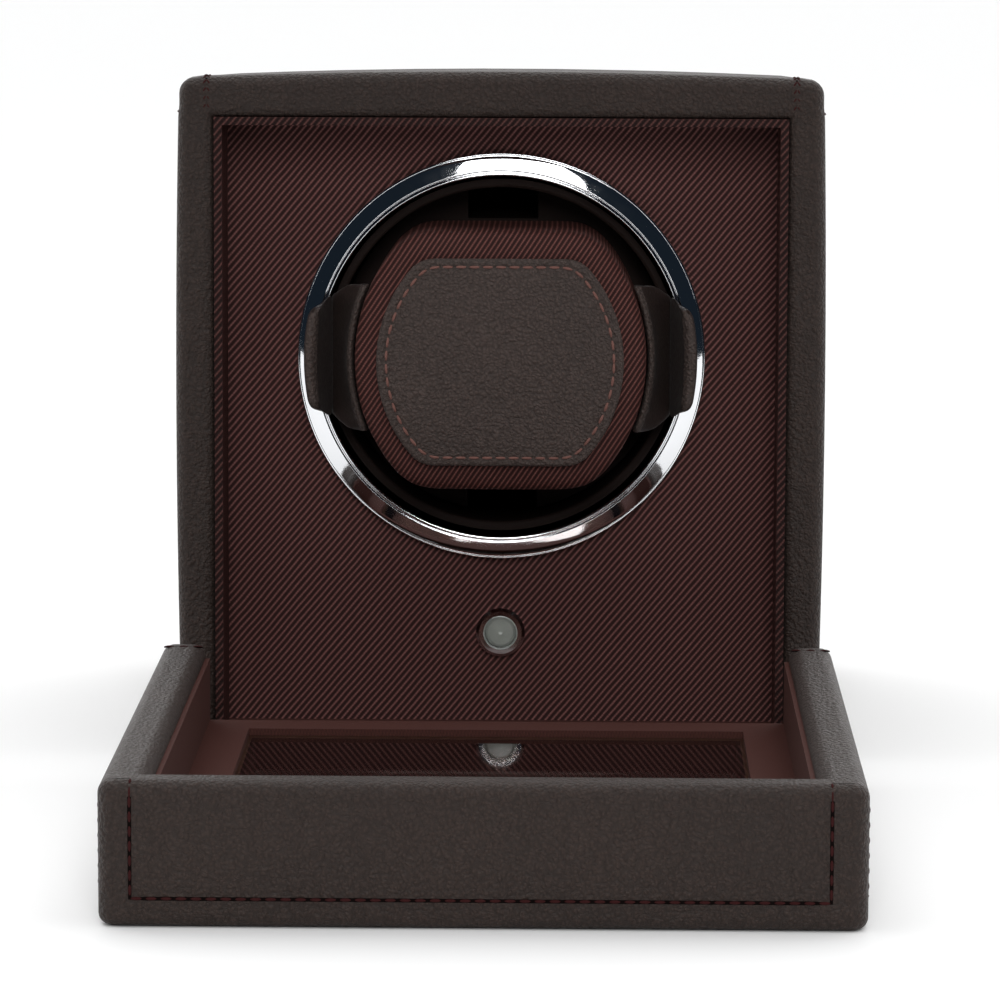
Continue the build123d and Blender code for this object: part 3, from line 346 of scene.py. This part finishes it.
def stitches(name, path, normals, mat, body, length, gap, radius, lift, slant=0.0):
    """Short raised threads along a line of points (mm); each dips into the leather at its ends."""
    rounds, sides, arch_rise, probe = 7, 6, 0.16, 0.2
    turn = [k * pi / 3 for k in range(sides)]
    verts, faces = [], []
    total = [0.0]
    for a, b in zip(path, path[1:]):
        total.append(total[-1] + (Vector(b) - Vector(a)).length)

    def at(distance):
        distance = min(max(distance, 0.0), total[-1])
        for i in range(len(path) - 1):
            if distance <= total[i + 1] or i == len(path) - 2:
                share = (distance - total[i]) / max(total[i + 1] - total[i], 1e-9)
                spot = Vector(path[i]).lerp(Vector(path[i + 1]), share)
                return spot, Vector(normals[i]).lerp(Vector(normals[i + 1]), share)

    count = max(1, int((total[-1] + gap) / (length + gap)))
    pitch = (total[-1] + gap) / count
    for i in range(count):
        start = i * pitch
        rings = []
        for step in range(rounds):
            t = step / (rounds - 1)
            place = start + t * (pitch - gap)
            spot, up = at(place)
            run = (at(place + probe)[0] - at(place - probe)[0]).normalized()
            up = up.normalized()
            side = run.cross(up).normalized()
            arch = sin(pi * t)
            centre = spot + up * (lift + arch_rise * arch - arch_rise) + side * slant * (t - 0.5)
            r = radius * (0.55 + 0.45 * arch)
            rings.append([(centre + (side * cos(q) + up * sin(q) * 0.8) * r) * MM for q in turn])
        v, f = tube_between(rings)
        base = len(verts)
        verts += v
        faces += [tuple(base + k for k in face) for face in f]
    make(name, verts, faces, mat, body)


def groove(name, path, normals, body, width):
    """A sewn joint painted as a shadowed groove: a low, narrow, near-black ribbon along a line of points (mm)."""
    lift, root = 0.02, 0.3
    rings = []
    for i, point in enumerate(path):
        a = Vector(path[max(i - 1, 0)])
        b = Vector(path[min(i + 1, len(path) - 1)])
        run = (b - a).normalized()
        up = Vector(normals[i]).normalized()
        side = run.cross(up).normalized()
        centre = Vector(point)
        ring = [centre + side * width / 2, centre + up * lift, centre - side * width / 2, centre - up * root]
        rings.append([p * MM for p in ring])
    v, f = tube_between(rings)
    make(name, v, f, SEAM_SHADOW, body, smooth=False)


# ---- front frame: one padded leather form with a fold at each top corner --------------
CROWN_RISE = 1.6  # the top's middle above its ends
SIDE_BOW = 1.0  # the sides' middle beyond their ends
CORNER_R = 3.5
INNER_ROUND, OUTER_ROUND = 2.2, 3.0  # radii of the frame's edges

liner_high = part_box("recess_liner")[1]
side_low, side_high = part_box("rail_right")
top_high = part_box("rail_top")[1]
open_half = liner_high[0] / MM
open_top = liner_high[2] / MM
rail_low = side_low[2] / MM
edge_half = side_high[0] / MM
crown = top_high[2] / MM
rail_back = top_high[1] / MM


def top_edge(x):
    """Height of the crowned top at the front."""
    return crown - CROWN_RISE * (x / edge_half) ** 2


def side_edge(z):
    """Half width of the slightly bowed sides at the front."""
    middle = (rail_low + crown) / 2
    return edge_half - SIDE_BOW * ((z - middle) / (crown - middle)) ** 2


def rail_section(width, puff):
    """Points (distance from the opening, depth) across the frame, round its inner and outer edges."""
    r, flat = INNER_ROUND, width - (INNER_ROUND + OUTER_ROUND)
    points = [(0.0, rail_back), (0.0, r)]
    points += [(r * (1 - cos(k / 6 * pi / 2)), r * (1 - sin(k / 6 * pi / 2))) for k in range(1, 6)]
    points += [(r + flat * k / 8, -puff * sin(pi * k / 8) + 0.02) for k in range(9)]
    r = OUTER_ROUND
    points += [(width - r * (1 - sin(k / 7 * pi / 2)), r * (1 - cos(k / 7 * pi / 2))) for k in range(1, 8)]
    return points + [(width, rail_back)]


def frame_stations():
    """(point on the opening, point on the outside, puff) up the left side and to the top's middle."""
    r = CORNER_R
    stations = []
    for k in range(31):
        z = rail_low + (open_top - rail_low) * k / 30
        stations.append(((-open_half, z), (-side_edge(z), z), 0.04 + 0.03 * sin(z * 0.21)))
    far = side_edge(crown)
    shoulder = top_edge(far)
    corner = [(-far, z) for z in (open_top + 2.5, open_top + 5.0, shoulder - r)]
    for a in (k / 6 * pi / 2 for k in range(1, 7)):
        corner.append((-far + r * (1 - cos(a)), shoulder - r * (1 - sin(a))))
    corner += [(-open_half - t, top_edge(open_half + t)) for t in (3.0, 1.5)]
    for k, spot in enumerate(corner):
        ridge = max(0.0, 1 - abs(k - 4.6) / 1.6)  # the fold, highest midway round the corner
        stations.append(((-open_half, open_top), spot, 0.04 + 0.06 * ridge))
    for k in range(16):
        x = -open_half + open_half * k / 15
        stations.append(((x, open_top), (x, top_edge(x)), 0.05 + 0.03 * sin(x * 0.3)))
    return stations


def front_frame():
    """The padded frame, swept up the left side, over the top and down the right side."""
    left = frame_stations()
    stations = left + [((-a[0], a[1]), (-b[0], b[1]), p) for a, b, p in reversed(left[:-1])]
    rings = []
    for inner, outer, puff in stations:
        across = Vector((outer[0] - inner[0], outer[1] - inner[1]))
        width = across.length
        across.normalize()
        ring = []
        for distance, depth in rail_section(width, puff):
            x, z = inner[0] + across.x * distance, inner[1] + across.y * distance
            ring.append((x * MM, depth * MM, z * MM))
        rings.append(ring)
    v, f = tube_between(rings)
    obj = make("frame_leather", v, f, LEATHER, "body")
    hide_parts("rail_left", "rail_right", "rail_top")


front_frame()
for side in (-1, 1):
    word = "left" if side < 0 else "right"
    # the mitre's seam runs up from the opening's corner and back over the top's edge
    x = side * (open_half + 1.6)
    path = [(x, 0.16, open_top + 1.8 + 0.9 * k) for k in range(6)]
    path += [(x, y, top_edge(x) + up) for y, up in ((0.45, -1.5), (1.4, -0.4), (3.2, 0.02), (6.5, 0.02))]
    normals = [(0, -1, 0)] * 6 + [(0, -0.8, 0.6), (0, -0.5, 0.85), (0, 0, 1), (0, 0, 1)]
    groove(f"frame_seam_{word}", path, normals, "body", width=0.5)
    for row, shift, radius, lift, slant in (("a", -0.35, 0.26, 0.1, 0.7), ("b", 0.45, 0.24, 0.08, -0.7)):
        beside = [(p[0] + shift, p[1], p[2]) for p in path]
        stitches(f"frame_stitches_{row}_{word}", beside, normals, THREAD_DARK, "body",
                 length=1.3, gap=0.5, radius=radius, lift=lift, slant=slant)
    # a short row goes round each side's front edge, level with the opening's top
    z = open_top + 1.0
    path = [(side * (side_edge(z) + out), y, z) for out, y in ((-0.9, 1.2), (0, 3.2), (0.03, 7.5))]
    normals = [(side * 0.7, -0.7, 0), (side, 0, 0), (side, 0, 0)]
    stitches(f"side_stitches_{word}", path, normals, THREAD_DARK, "body",
             length=1.4, gap=0.7, radius=0.26, lift=0.1)


# ---- lid: seams and stitching ---------------------------------------------------------
LID_FAR = 150.2  # the front face, from the hinge's axis
RIM = 26.5  # the walls' height
MARGIN = 4.0  # the front stitching above the lid's outer face
SIDE_MARGIN = 4.2
PROUD = 0.02  # paths lie this far outside the leather

hinge = next(j for j in frame["joints"] if j["name"] == "lid_hinge")
pivot = Vector(hinge["pos_m"]) / MM
tilt = radians(hinge["range_deg"][1] - 90)
lid_x = Vector((1, 0, 0))
lid_y = Vector((0, cos(tilt), sin(tilt)))
lid_z = Vector((0, -sin(tilt), cos(tilt)))


def lid(x, y, z):
    """A point given in the lid's own frame, mm."""
    return pivot + lid_x * x + lid_y * y + lid_z * z


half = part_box("lid_cover")[1][0] / MM
face_y = -LID_FAR - PROUD
left_x, right_x = -half + 6.3, half - 7.2
# down the front wall's left end, along near the lid's outer face, and up its right end
path = [lid(left_x, face_y, z) for z in (RIM - 2.9, 16, 9, MARGIN)]
path += [lid(left_x + (right_x - left_x) * k / 40, face_y, MARGIN) for k in range(1, 41)]
path += [lid(right_x, face_y, z) for z in (9, 16, RIM - 2.9)]
normals = [-lid_y] * len(path)
groove("lid_front_channel", path, normals, "lid", width=0.75)
stitches("lid_front_stitches", path, normals, THREAD_DARK, "lid", length=2.0, gap=0.8, radius=0.34, lift=0.06)
for side in (-1, 1):
    word = "left" if side < 0 else "right"
    across = left_x if side < 0 else right_x
    # the side wall's leather ends in a seam on the rim just behind the front face, and the seam
    # then turns forwards and meets the front face's stitching
    seam_y = -LID_FAR + 2.9
    over_edge = ((0.8, 1.3), (1.7, 0.4), (2.9, 0))  # from the side wall's outside up onto the rim
    path = [lid(side * (half - inset), seam_y, RIM - down) for inset, down in over_edge]
    path += [lid(across, seam_y, RIM), lid(across, -LID_FAR + 1.5, RIM - 0.35)]
    path += [lid(across, -LID_FAR + 0.6, RIM - 1.2), lid(across, face_y, RIM - 2.9)]
    normals = [lid_x * side, lid_x * side + lid_z, lid_z, lid_z, lid_z - lid_y * 0.4, lid_z - lid_y, -lid_y]
    groove(f"lid_corner_seam_{word}", path, normals, "lid", width=0.45)
    stitches(f"lid_corner_stitches_{word}", path[3:], normals[3:], THREAD_DARK, "lid",
             length=1.3, gap=0.5, radius=0.27, lift=0.1)
    # seam across the wall's end at the hinge side
    path = [lid(side * (half - 0.6 - 8.4 * k / 6), -5.2, RIM) for k in range(7)]
    normals = [lid_z] * len(path)
    groove(f"lid_wall_seam_{word}", path, normals, "lid", width=0.35)
    stitches(f"lid_wall_stitches_{word}", path, normals, THREAD_DARK, "lid",
             length=1.5, gap=0.9, radius=0.24, lift=0.08)
    # stitching round the side wall
    x = side * (half + PROUD)
    path = [lid(x, -5.0, 22), lid(x, -5.0, SIDE_MARGIN)]
    path += [lid(x, -5.0 - (LID_FAR - 10) * k / 30, SIDE_MARGIN) for k in range(1, 31)]
    path += [lid(x, -LID_FAR + 5.0, 22)]
    normals = [lid_x * side] * len(path)
    stitches(f"lid_side_stitches_{word}", path, normals, THREAD_DARK, "lid",
             length=1.9, gap=1.0, radius=0.25, lift=0.04)


# ---- chrome ring ------------------------------------------------------------------------
RING_OUT, RING_IN = 46.0, 40.9  # radii of the ring's outside and bore
FACE_OUT, FACE_WIDTH, FACE_SLOPE = 45.5, 3.4, 0.2126  # the sloped face; its slope is a tangent
BEAD_AT, BEAD_R = 41.31, 0.41  # the bead round the bore


def turned(name, profile, centre, mat, body):
    """A piece turned about a line along Y; profile is (radius, depth) in mm."""
    steps = 192
    rings = []
    for k in range(steps):
        a = 2 * pi * k / steps
        spots = [(centre[0] + r * cos(a), y, centre[1] + r * sin(a)) for r, y in profile]
        rings.append([(x * MM, y * MM, z * MM) for x, y, z in spots])
    v, f = tube_between(rings, closed=True)
    return make(name, v, f, mat, body)


ring_low, ring_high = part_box("bezel_ring")
ring_z = (ring_low[2] + ring_high[2]) / 2 / MM
ring_front = ring_low[1] / MM
profile = [(RING_OUT, 18.0), (RING_OUT, ring_front + 1.35)]
profile += [(45.93, ring_front + 1.14), (45.7, ring_front + 1.0)]
for k in range(17):
    out = 1 - k / 16  # from the face's outer edge, 1, to its inner edge, 0
    depth = ring_front + 0.24 + FACE_SLOPE * FACE_WIDTH * out + 0.16 * out ** 5
    profile.append((FACE_OUT - FACE_WIDTH * k / 16, depth))
profile += [(42.0, ring_front + 0.36), (41.86, ring_front + 0.42), (41.72, ring_front + 0.3)]
for a in (pi * k / 8 for k in range(1, 9)):
    profile.append((BEAD_AT + BEAD_R * cos(a), ring_front + BEAD_R - BEAD_R * sin(a)))
profile += [(RING_IN, ring_front + 1.0), (RING_IN, 24.0), (42.3, 21.2), (42.3, 18.0)]
chrome_ring = turned("ring_chrome", profile, (0, ring_z), CHROME, "body")
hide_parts("bezel_ring")


# ---- cuff ---------------------------------------------------------------------------
# outlines: half width, half height, radius of the bowed sides, size of the corners
PAD_SHAPE = (33.2, 29.6, 39.7, 7.0)
FACE_SHAPE = (27.5, 23.1, 31.8, 4.0)
FACE_BACK = 1.6  # from the CAD face's front back to the plane that the face's lifts are counted from

pad_low, pad_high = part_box("cuff_cover")
pad_front, pad_back = pad_low[1] / MM, pad_high[1] / MM
pad_z = (pad_low[2] + pad_high[2]) / 2 / MM
pad_half_w = pad_high[0] / MM
pad_half_h = (pad_high[2] - pad_low[2]) / 2 / MM
face_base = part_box("cuff_face")[0][1] / MM + FACE_BACK


def disc_sided(half_w, half_h, side_r, corner_r, count):
    """Evenly spaced points (x, z) of an outline with straight top and bottom and bowed sides."""
    # a quarter of it: the side's arc, then the corner as a quadratic bend
    shift = side_r - half_w
    reach = (side_r ** 2 - half_h ** 2) ** 0.5 - shift
    cut = corner_r * 0.75
    turn = atan2(half_h, reach + shift) - cut / side_r
    arc = [Vector((side_r * cos(turn * k / 24) - shift, side_r * sin(turn * k / 24))) for k in range(25)]
    corner = Vector((reach, half_h))
    end = Vector((reach - cut, half_h))
    quarter = list(arc)
    for t in (k / 10 for k in range(1, 11)):
        quarter.append(arc[-1] * (1 - t) ** 2 + corner * 2 * t * (1 - t) + end * t * t)
    upper = quarter + [Vector((-p.x, p.y)) for p in reversed(quarter)]
    points = upper + [Vector((p.x, -p.y)) for p in reversed(upper[1:-1])]
    lengths = [0.0]
    for a, b in zip(points, points[1:] + points[:1]):
        lengths.append(lengths[-1] + (b - a).length)
    even = []
    for k in range(count):
        want = lengths[-1] * k / count
        i = max(j for j in range(len(points)) if lengths[j] <= want)
        share = (want - lengths[i]) / max(lengths[i + 1] - lengths[i], 1e-9)
        even.append(points[i].lerp(points[(i + 1) % len(points)], share))
    return even


def blow_up(obj):
    """Even out the mesh and swell it as cloth under pressure, with its back held still."""
    voxel, frames, cap = 0.0016, 20, 0.0011  # m, steps, and the furthest that a point may move (m)
    held_from, held_over = 6.0, 10.0  # mm; points further back than both together don't move
    foremost = (pad_front - 0.2) * MM
    remesh = obj.modifiers.new("even", "REMESH")
    remesh.mode = "VOXEL"
    remesh.voxel_size = voxel
    bpy.context.view_layer.objects.active = obj
    bpy.ops.object.modifier_apply(modifier="even")
    group = obj.vertex_groups.new(name="held")
    start = [vert.co.copy() for vert in obj.data.vertices]
    for i, co in enumerate(start):
        group.add([i], min(1.0, max(0.0, (co.y / MM - held_from) / held_over)), "REPLACE")
    cloth = obj.modifiers.new("blown", "CLOTH")
    cloth.settings.quality = 5
    cloth.settings.mass = 0.15
    cloth.settings.tension_stiffness = 8
    cloth.settings.compression_stiffness = 8
    cloth.settings.bending_stiffness = 0.8
    cloth.settings.use_pressure = True
    cloth.settings.uniform_pressure_force = 3.0
    cloth.settings.vertex_group_mass = "held"
    cloth.settings.effector_weights.gravity = 0
    cloth.collision_settings.use_collision = False
    cloth.point_cache.frame_start = 1
    cloth.point_cache.frame_end = frames
    scene = bpy.context.scene
    for number in range(1, frames + 1):
        scene.frame_set(number)
    shaped = obj.evaluated_get(bpy.context.evaluated_depsgraph_get())
    moved = [vert.co.copy() for vert in shaped.data.vertices]
    obj.modifiers.clear()
    scene.frame_set(1)
    for vert, a, b in zip(obj.data.vertices, start, moved):
        step = b - a
        if step.length > cap:
            step *= cap / step.length
        vert.co = a + step
        vert.co.y = max(vert.co.y, foremost)


def cushion():
    """The twill cushion: a soft block, a little smaller than the CAD's, then blown up."""
    outline = disc_sided(*PAD_SHAPE, 96)
    rings = []
    # (how much smaller the outline is, depth) from the front to the back
    for shrink, y in ((3.6, pad_front + 0.6), (1.6, pad_front + 1.2), (0.7, pad_front + 3.2),
                      (0.5, pad_front + 8), (0.5, 20), (0.5, pad_back)):
        wide, tall = 1 - shrink / pad_half_w, 1 - shrink / pad_half_h
        rings.append([(p.x * wide * MM, y * MM, (pad_z + p.y * tall) * MM) for p in outline])
    v, f = tube_between(rings)
    obj = make("cuff_cushion", v, f, TWILL_PAD, "cuff")
    blow_up(obj)
    for polygon in obj.data.polygons:
        polygon.use_smooth = True
    subdivide(obj, 1)
    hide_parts("cuff_cover", "cuff_foam")


def surface_of(obj):
    """A function giving the depth at which a line from the front meets the piece, mm."""
    graph = bpy.context.evaluated_depsgraph_get()
    tree = BVHTree.FromObject(obj, graph)

    def depth(x, z, fallback):
        hit = tree.ray_cast(Vector((x * MM, -0.1, z * MM)), Vector((0, 1, 0)))
        return hit[0].y / MM if hit[0] else fallback

    return depth


def cuff_face():
    """Leather patch laid on the cushion, with a rolled edge and a shallow sewn channel."""
    outline = disc_sided(*FACE_SHAPE, 96)
    rings = []
    # (scale of the outline, lift) from the cushion's surface round the edge and across the channel
    rim = ((0.992, -0.9), (0.998, 0.4), (1.0, 0.9), (0.996, 1.3), (0.986, 1.52),
           (0.965, 1.6), (0.94, 1.55), (0.925, 1.42), (0.91, 1.5), (0.88, 1.62))
    for scale, lift in rim:
        depth = (face_base - lift) * MM
        rings.append([(p.x * scale * MM, depth, (pad_z + p.y * scale) * MM) for p in outline])
    # then inwards over a slightly uneven crown
    for scale in (0.75, 0.6, 0.45, 0.3, 0.15):
        ring = []
        for p in outline:
            x, z = p.x * scale, pad_z + p.y * scale
            rise = 0.25 * (1 - scale) + 0.03 * sin(x * 0.6) * cos(z * 0.5)
            ring.append((x * MM, (face_base - rim[-1][1] - rise) * MM, z * MM))
        rings.append(ring)
    v, f = tube_between(rings)
    obj = make("cuff_face_leather", v, f, LEATHER_FINE_AND_HIGHLIGHT, "cuff")
    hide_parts("cuff_face")
    return obj


def face_stitching(face):
    """A row of tan stitches in the face's channel, all the way round."""
    channel, missed = 0.92, -3.6  # scale of the outline, and a depth for a line that misses the face
    depth_at = surface_of(face)
    outline = disc_sided(*FACE_SHAPE, 120)
    path = []
    for p in outline + outline[:1]:
        x, z = p.x * channel, pad_z + p.y * channel
        path.append((x, depth_at(x, z, missed) - 0.02, z))
    normals = [(0, -1, 0)] * len(path)
    stitches("cuff_face_stitches", path, normals, THREAD_TAN, "cuff",
             length=2.1, gap=0.8, radius=0.33, lift=0.12)


cushion()
face_stitching(cuff_face())

# the leather sides and grips get shorter away from the middle
SIDE_HALF = 16.9  # half height
TAPER, TAPER_FROM, TAPER_OVER = 0.80, 34.4, 6.8  # mm lost per mm, from where on, and over how far
SIDE_FAR = 38.2  # where a side meets its grip's root


def pad_edge(z):
    """Half width of the cushion at a height above its middle."""
    half_w, _, side_r, _ = PAD_SHAPE
    return (side_r ** 2 - z * z) ** 0.5 - (side_r - half_w)


def lit_and_shaded_leathers(obj, lit):
    """Fine, lighter leather on the faces that lit(centre) picks, smooth dark leather on the others; the split
    paints light and shade, the lighter leather as a highlight where light falls and the darker one in part as
    shade.
    """
    obj.data.materials.append(LEATHER_FINE_AND_HIGHLIGHT)
    for polygon in obj.data.polygons:
        polygon.material_index = 1 if lit(polygon.center / MM) else 0


def grip(side):
    """Leather grip: a flared flap with a rolled rim, chamfered top and bottom."""
    word = "left" if side < 0 else "right"
    rows = 25
    mid_x, mid_y = 40.4, 7.5  # the ends' pinch draws the section in towards this point
    # inner side from root to rim, round the rim, and back down the outer side
    section = [(37.7, 12.4), (38.2, 10.6), (39.1, 8.2), (39.9, 6.0), (40.5, 4.2), (40.9, 2.9), (41.4, 1.9)]
    section += [(42.2, 1.3), (43.0, 1.4), (43.7, 2.1), (44.0, 3.4)]
    section += [(43.4, 5.6), (42.0, 8.4), (40.8, 11.0), (40.0, 13.0), (38.6, 13.9)]
    rings = []
    for k in range(rows):
        t = -1 + 2 * k / (rows - 1)
        pinch = 1.0 - 0.2 * max(0.0, abs(t) - 0.88) / 0.12
        ring = []
        for x, y in section:
            half = SIDE_HALF - TAPER * min(max(0.0, x - TAPER_FROM), TAPER_OVER)
            flare = min(1.0, max(0.0, (x - 38.4) / 4.0))
            bulge = 1.3 * (1 - t * t) * flare
            out = mid_x + (x - mid_x) * pinch + bulge - 1.25 * flare
            ring.append((side * out * MM, (mid_y + (y - mid_y) * pinch) * MM, (pad_z + half * t) * MM))
        rings.append(ring)
    v, f = tube_between(rings)
    obj = make(f"grip_leather_{word}", v, f, LEATHER_SMOOTH_AND_SHADE, f"grip_{word}")
    # only the rim, where it faces forwards, is in the fine leather, lighter as a painted highlight; the rest is
    # the dark smooth leather, partly painted shade
    lit_and_shaded_leathers(obj, lambda at: at.y < 2.4 and abs(at.x) > 40.2)
    subdivide(obj, 2)
    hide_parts(f"cuff_grip_{word}")


def grip_base(side):
    """Leather side of the cuff: a raised edge along the cushion, then a slope back to the grip's root."""
    word = "left" if side < 0 else "right"
    rows = 25
    # raised edge: (share of 6 mm, depth); slope and back: (share of the way to the grip's root, depth)
    raised = ((0.0, 5.4), (0.04, 4.2), (0.12, 3.8), (0.22, 4.1), (0.27, 5.2))
    slope = ((0.40, 7.2), (0.60, 9.2), (0.80, 10.9), (0.97, 12.2), (1.0, 13.2), (0.95, 14.8), (0.0, 15.0))
    rings = []
    for k in range(rows):
        t = -1 + 2 * k / (rows - 1)
        fall = max(0.0, abs(t) - 0.86) / 0.14  # the ends fall away from the front
        edge = pad_edge(16.7 * t) - 0.35
        section = [(edge + 6.0 * share, y) for share, y in raised]
        section += [(edge + (SIDE_FAR - edge) * share, y) for share, y in slope]
        ring = []
        for x, y in section:
            tall = SIDE_HALF - TAPER * max(0.0, x - TAPER_FROM)
            ring.append((side * x * MM, (y + fall * fall * 0.9) * MM, (pad_z + tall * t) * MM))
        rings.append(ring)
    v, f = tube_between(rings)
    obj = make(f"cuff_side_leather_{word}", v, f, LEATHER_SMOOTH_AND_SHADE, "cuff")
    # only the raised edge along the cushion is in the fine leather; the slope behind it is in the dark smooth
    # leather, darkened in part as painted shade
    lit_and_shaded_leathers(obj, lambda at: at.y < 5.6 and abs(at.x) < pad_edge(at.z - pad_z) + 1.7)
    subdivide(obj, 2)
    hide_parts(f"cuff_side_{word}")


for side in (-1, 1):
    grip(side)
    grip_base(side)


# ---- stage, lights, camera --------------------------------------------------------------
def floor():
    """Pale floor, 0.1 mm under the feet; it reaches only 0.75 m forwards."""
    far, front, under = 30.0, 0.75, 0.0001
    corners = [(-far, -front, 0), (far, -front, 0), (far, far, 0), (-far, far, 0)]
    mesh = bpy.data.meshes.new("floor")
    mesh.from_pydata(corners, [], [(0, 1, 2, 3)])
    obj = bpy.data.objects.new("floor", mesh)
    obj.location.z = -under
    bpy.context.collection.objects.link(obj)
    s = Shader("floor_white", (0.93, 0.93, 0.93), 0.6, Specular_IOR_Level=0.2)
    s.bump(s.noise(3.0), 0.0001)
    mesh.materials.append(s.mat)


def area_light(name, place, target, width, height, power):
    """Rectangular softbox at a place, aimed at a target; metres and watts."""
    data = bpy.data.lights.new(name, "AREA")
    data.shape = "RECTANGLE"
    data.size = width
    data.size_y = height
    data.energy = power
    obj = bpy.data.objects.new(name, data)
    obj.location = place
    obj.rotation_euler = (Vector(target) - Vector(place)).to_track_quat("-Z", "Y").to_euler()
    bpy.context.collection.objects.link(obj)


def room():
    """World light: bright overhead and behind, dim and slightly blue in front; white to the camera."""
    behind_range, behind_power = (-0.05, 0.45), 1.45
    above_range, above_power = (0.62, 0.90), 1.55
    dim = 0.016
    cool, white = (0.55, 0.85, 1.25, 1), (1.0, 1.0, 1.0, 1)

    world = bpy.data.worlds.new("studio")
    bpy.context.scene.world = world
    world.use_nodes = True
    tree = world.node_tree

    def node(kind, inputs=None, **settings):
        return add_node(tree, kind, inputs, **settings).outputs

    def fade(value, span, top):
        put = {0: value, 1: span[0], 2: span[1], 3: 0.0, 4: top}
        return node("ShaderNodeMapRange", put, interpolation_type="SMOOTHSTEP")[0]

    split = node("ShaderNodeSeparateXYZ", {0: node("ShaderNodeTexCoord")["Generated"]})
    behind = fade(split["Y"], behind_range, behind_power)
    above = fade(split["Z"], above_range, above_power)
    level = node("ShaderNodeMath", {0: behind, 1: above}, operation="MAXIMUM")[0]
    level = node("ShaderNodeMath", {0: level, 1: dim}, operation="ADD")[0]
    seen = node("ShaderNodeLightPath")["Is Camera Ray"]
    level = node("ShaderNodeMath", {0: level, 1: seen}, operation="MAXIMUM")[0]
    share = fade(level, (0.02, 0.20), 1.0)
    tint = node("ShaderNodeMix", {0: share, 6: cool, 7: white}, data_type="RGBA")[2]
    background = tree.nodes["Background"]
    tree.links.new(level, background.inputs["Strength"])
    tree.links.new(tint, background.inputs["Color"])


def add_camera():
    """Long lens, a little above the part and looking slightly down at it."""
    place = (0.01801, -1.0825, 0.1996)
    yaw, pitch, roll = radians(-0.949), radians(7.4), radians(0.219)
    ahead = Vector((sin(yaw) * cos(pitch), cos(yaw) * cos(pitch), -sin(pitch)))
    right = Vector((cos(yaw), -sin(yaw), 0))
    upward = right.cross(ahead)
    turned_right = right * cos(roll) + upward * sin(roll)
    turned_up = -right * sin(roll) + upward * cos(roll)
    data = bpy.data.cameras.new("camera")
    data.lens = 175.99
    data.sensor_width = 36
    data.clip_end = 100
    camera = bpy.data.objects.new("camera", data)
    bpy.context.collection.objects.link(camera)
    columns = Matrix((turned_right, turned_up, -ahead)).transposed()
    camera.matrix_world = Matrix.Translation(place) @ columns.to_4x4()
    bpy.context.scene.camera = camera


floor()
area_light("front_softbox", (0.07, -2.0, 1.06), (0, 0, 0.09), 0.70, 1.12, 20.0)
area_light("left_softbox", (-1.6, -0.25, 0.75), (0, 0, 0.08), 0.7, 0.9, 3.5)
area_light("right_softbox", (1.6, -0.15, 0.75), (0, 0, 0.08), 0.7, 0.9, 4)
room()
bpy.context.scene.view_settings.view_transform = "Standard"
add_camera()
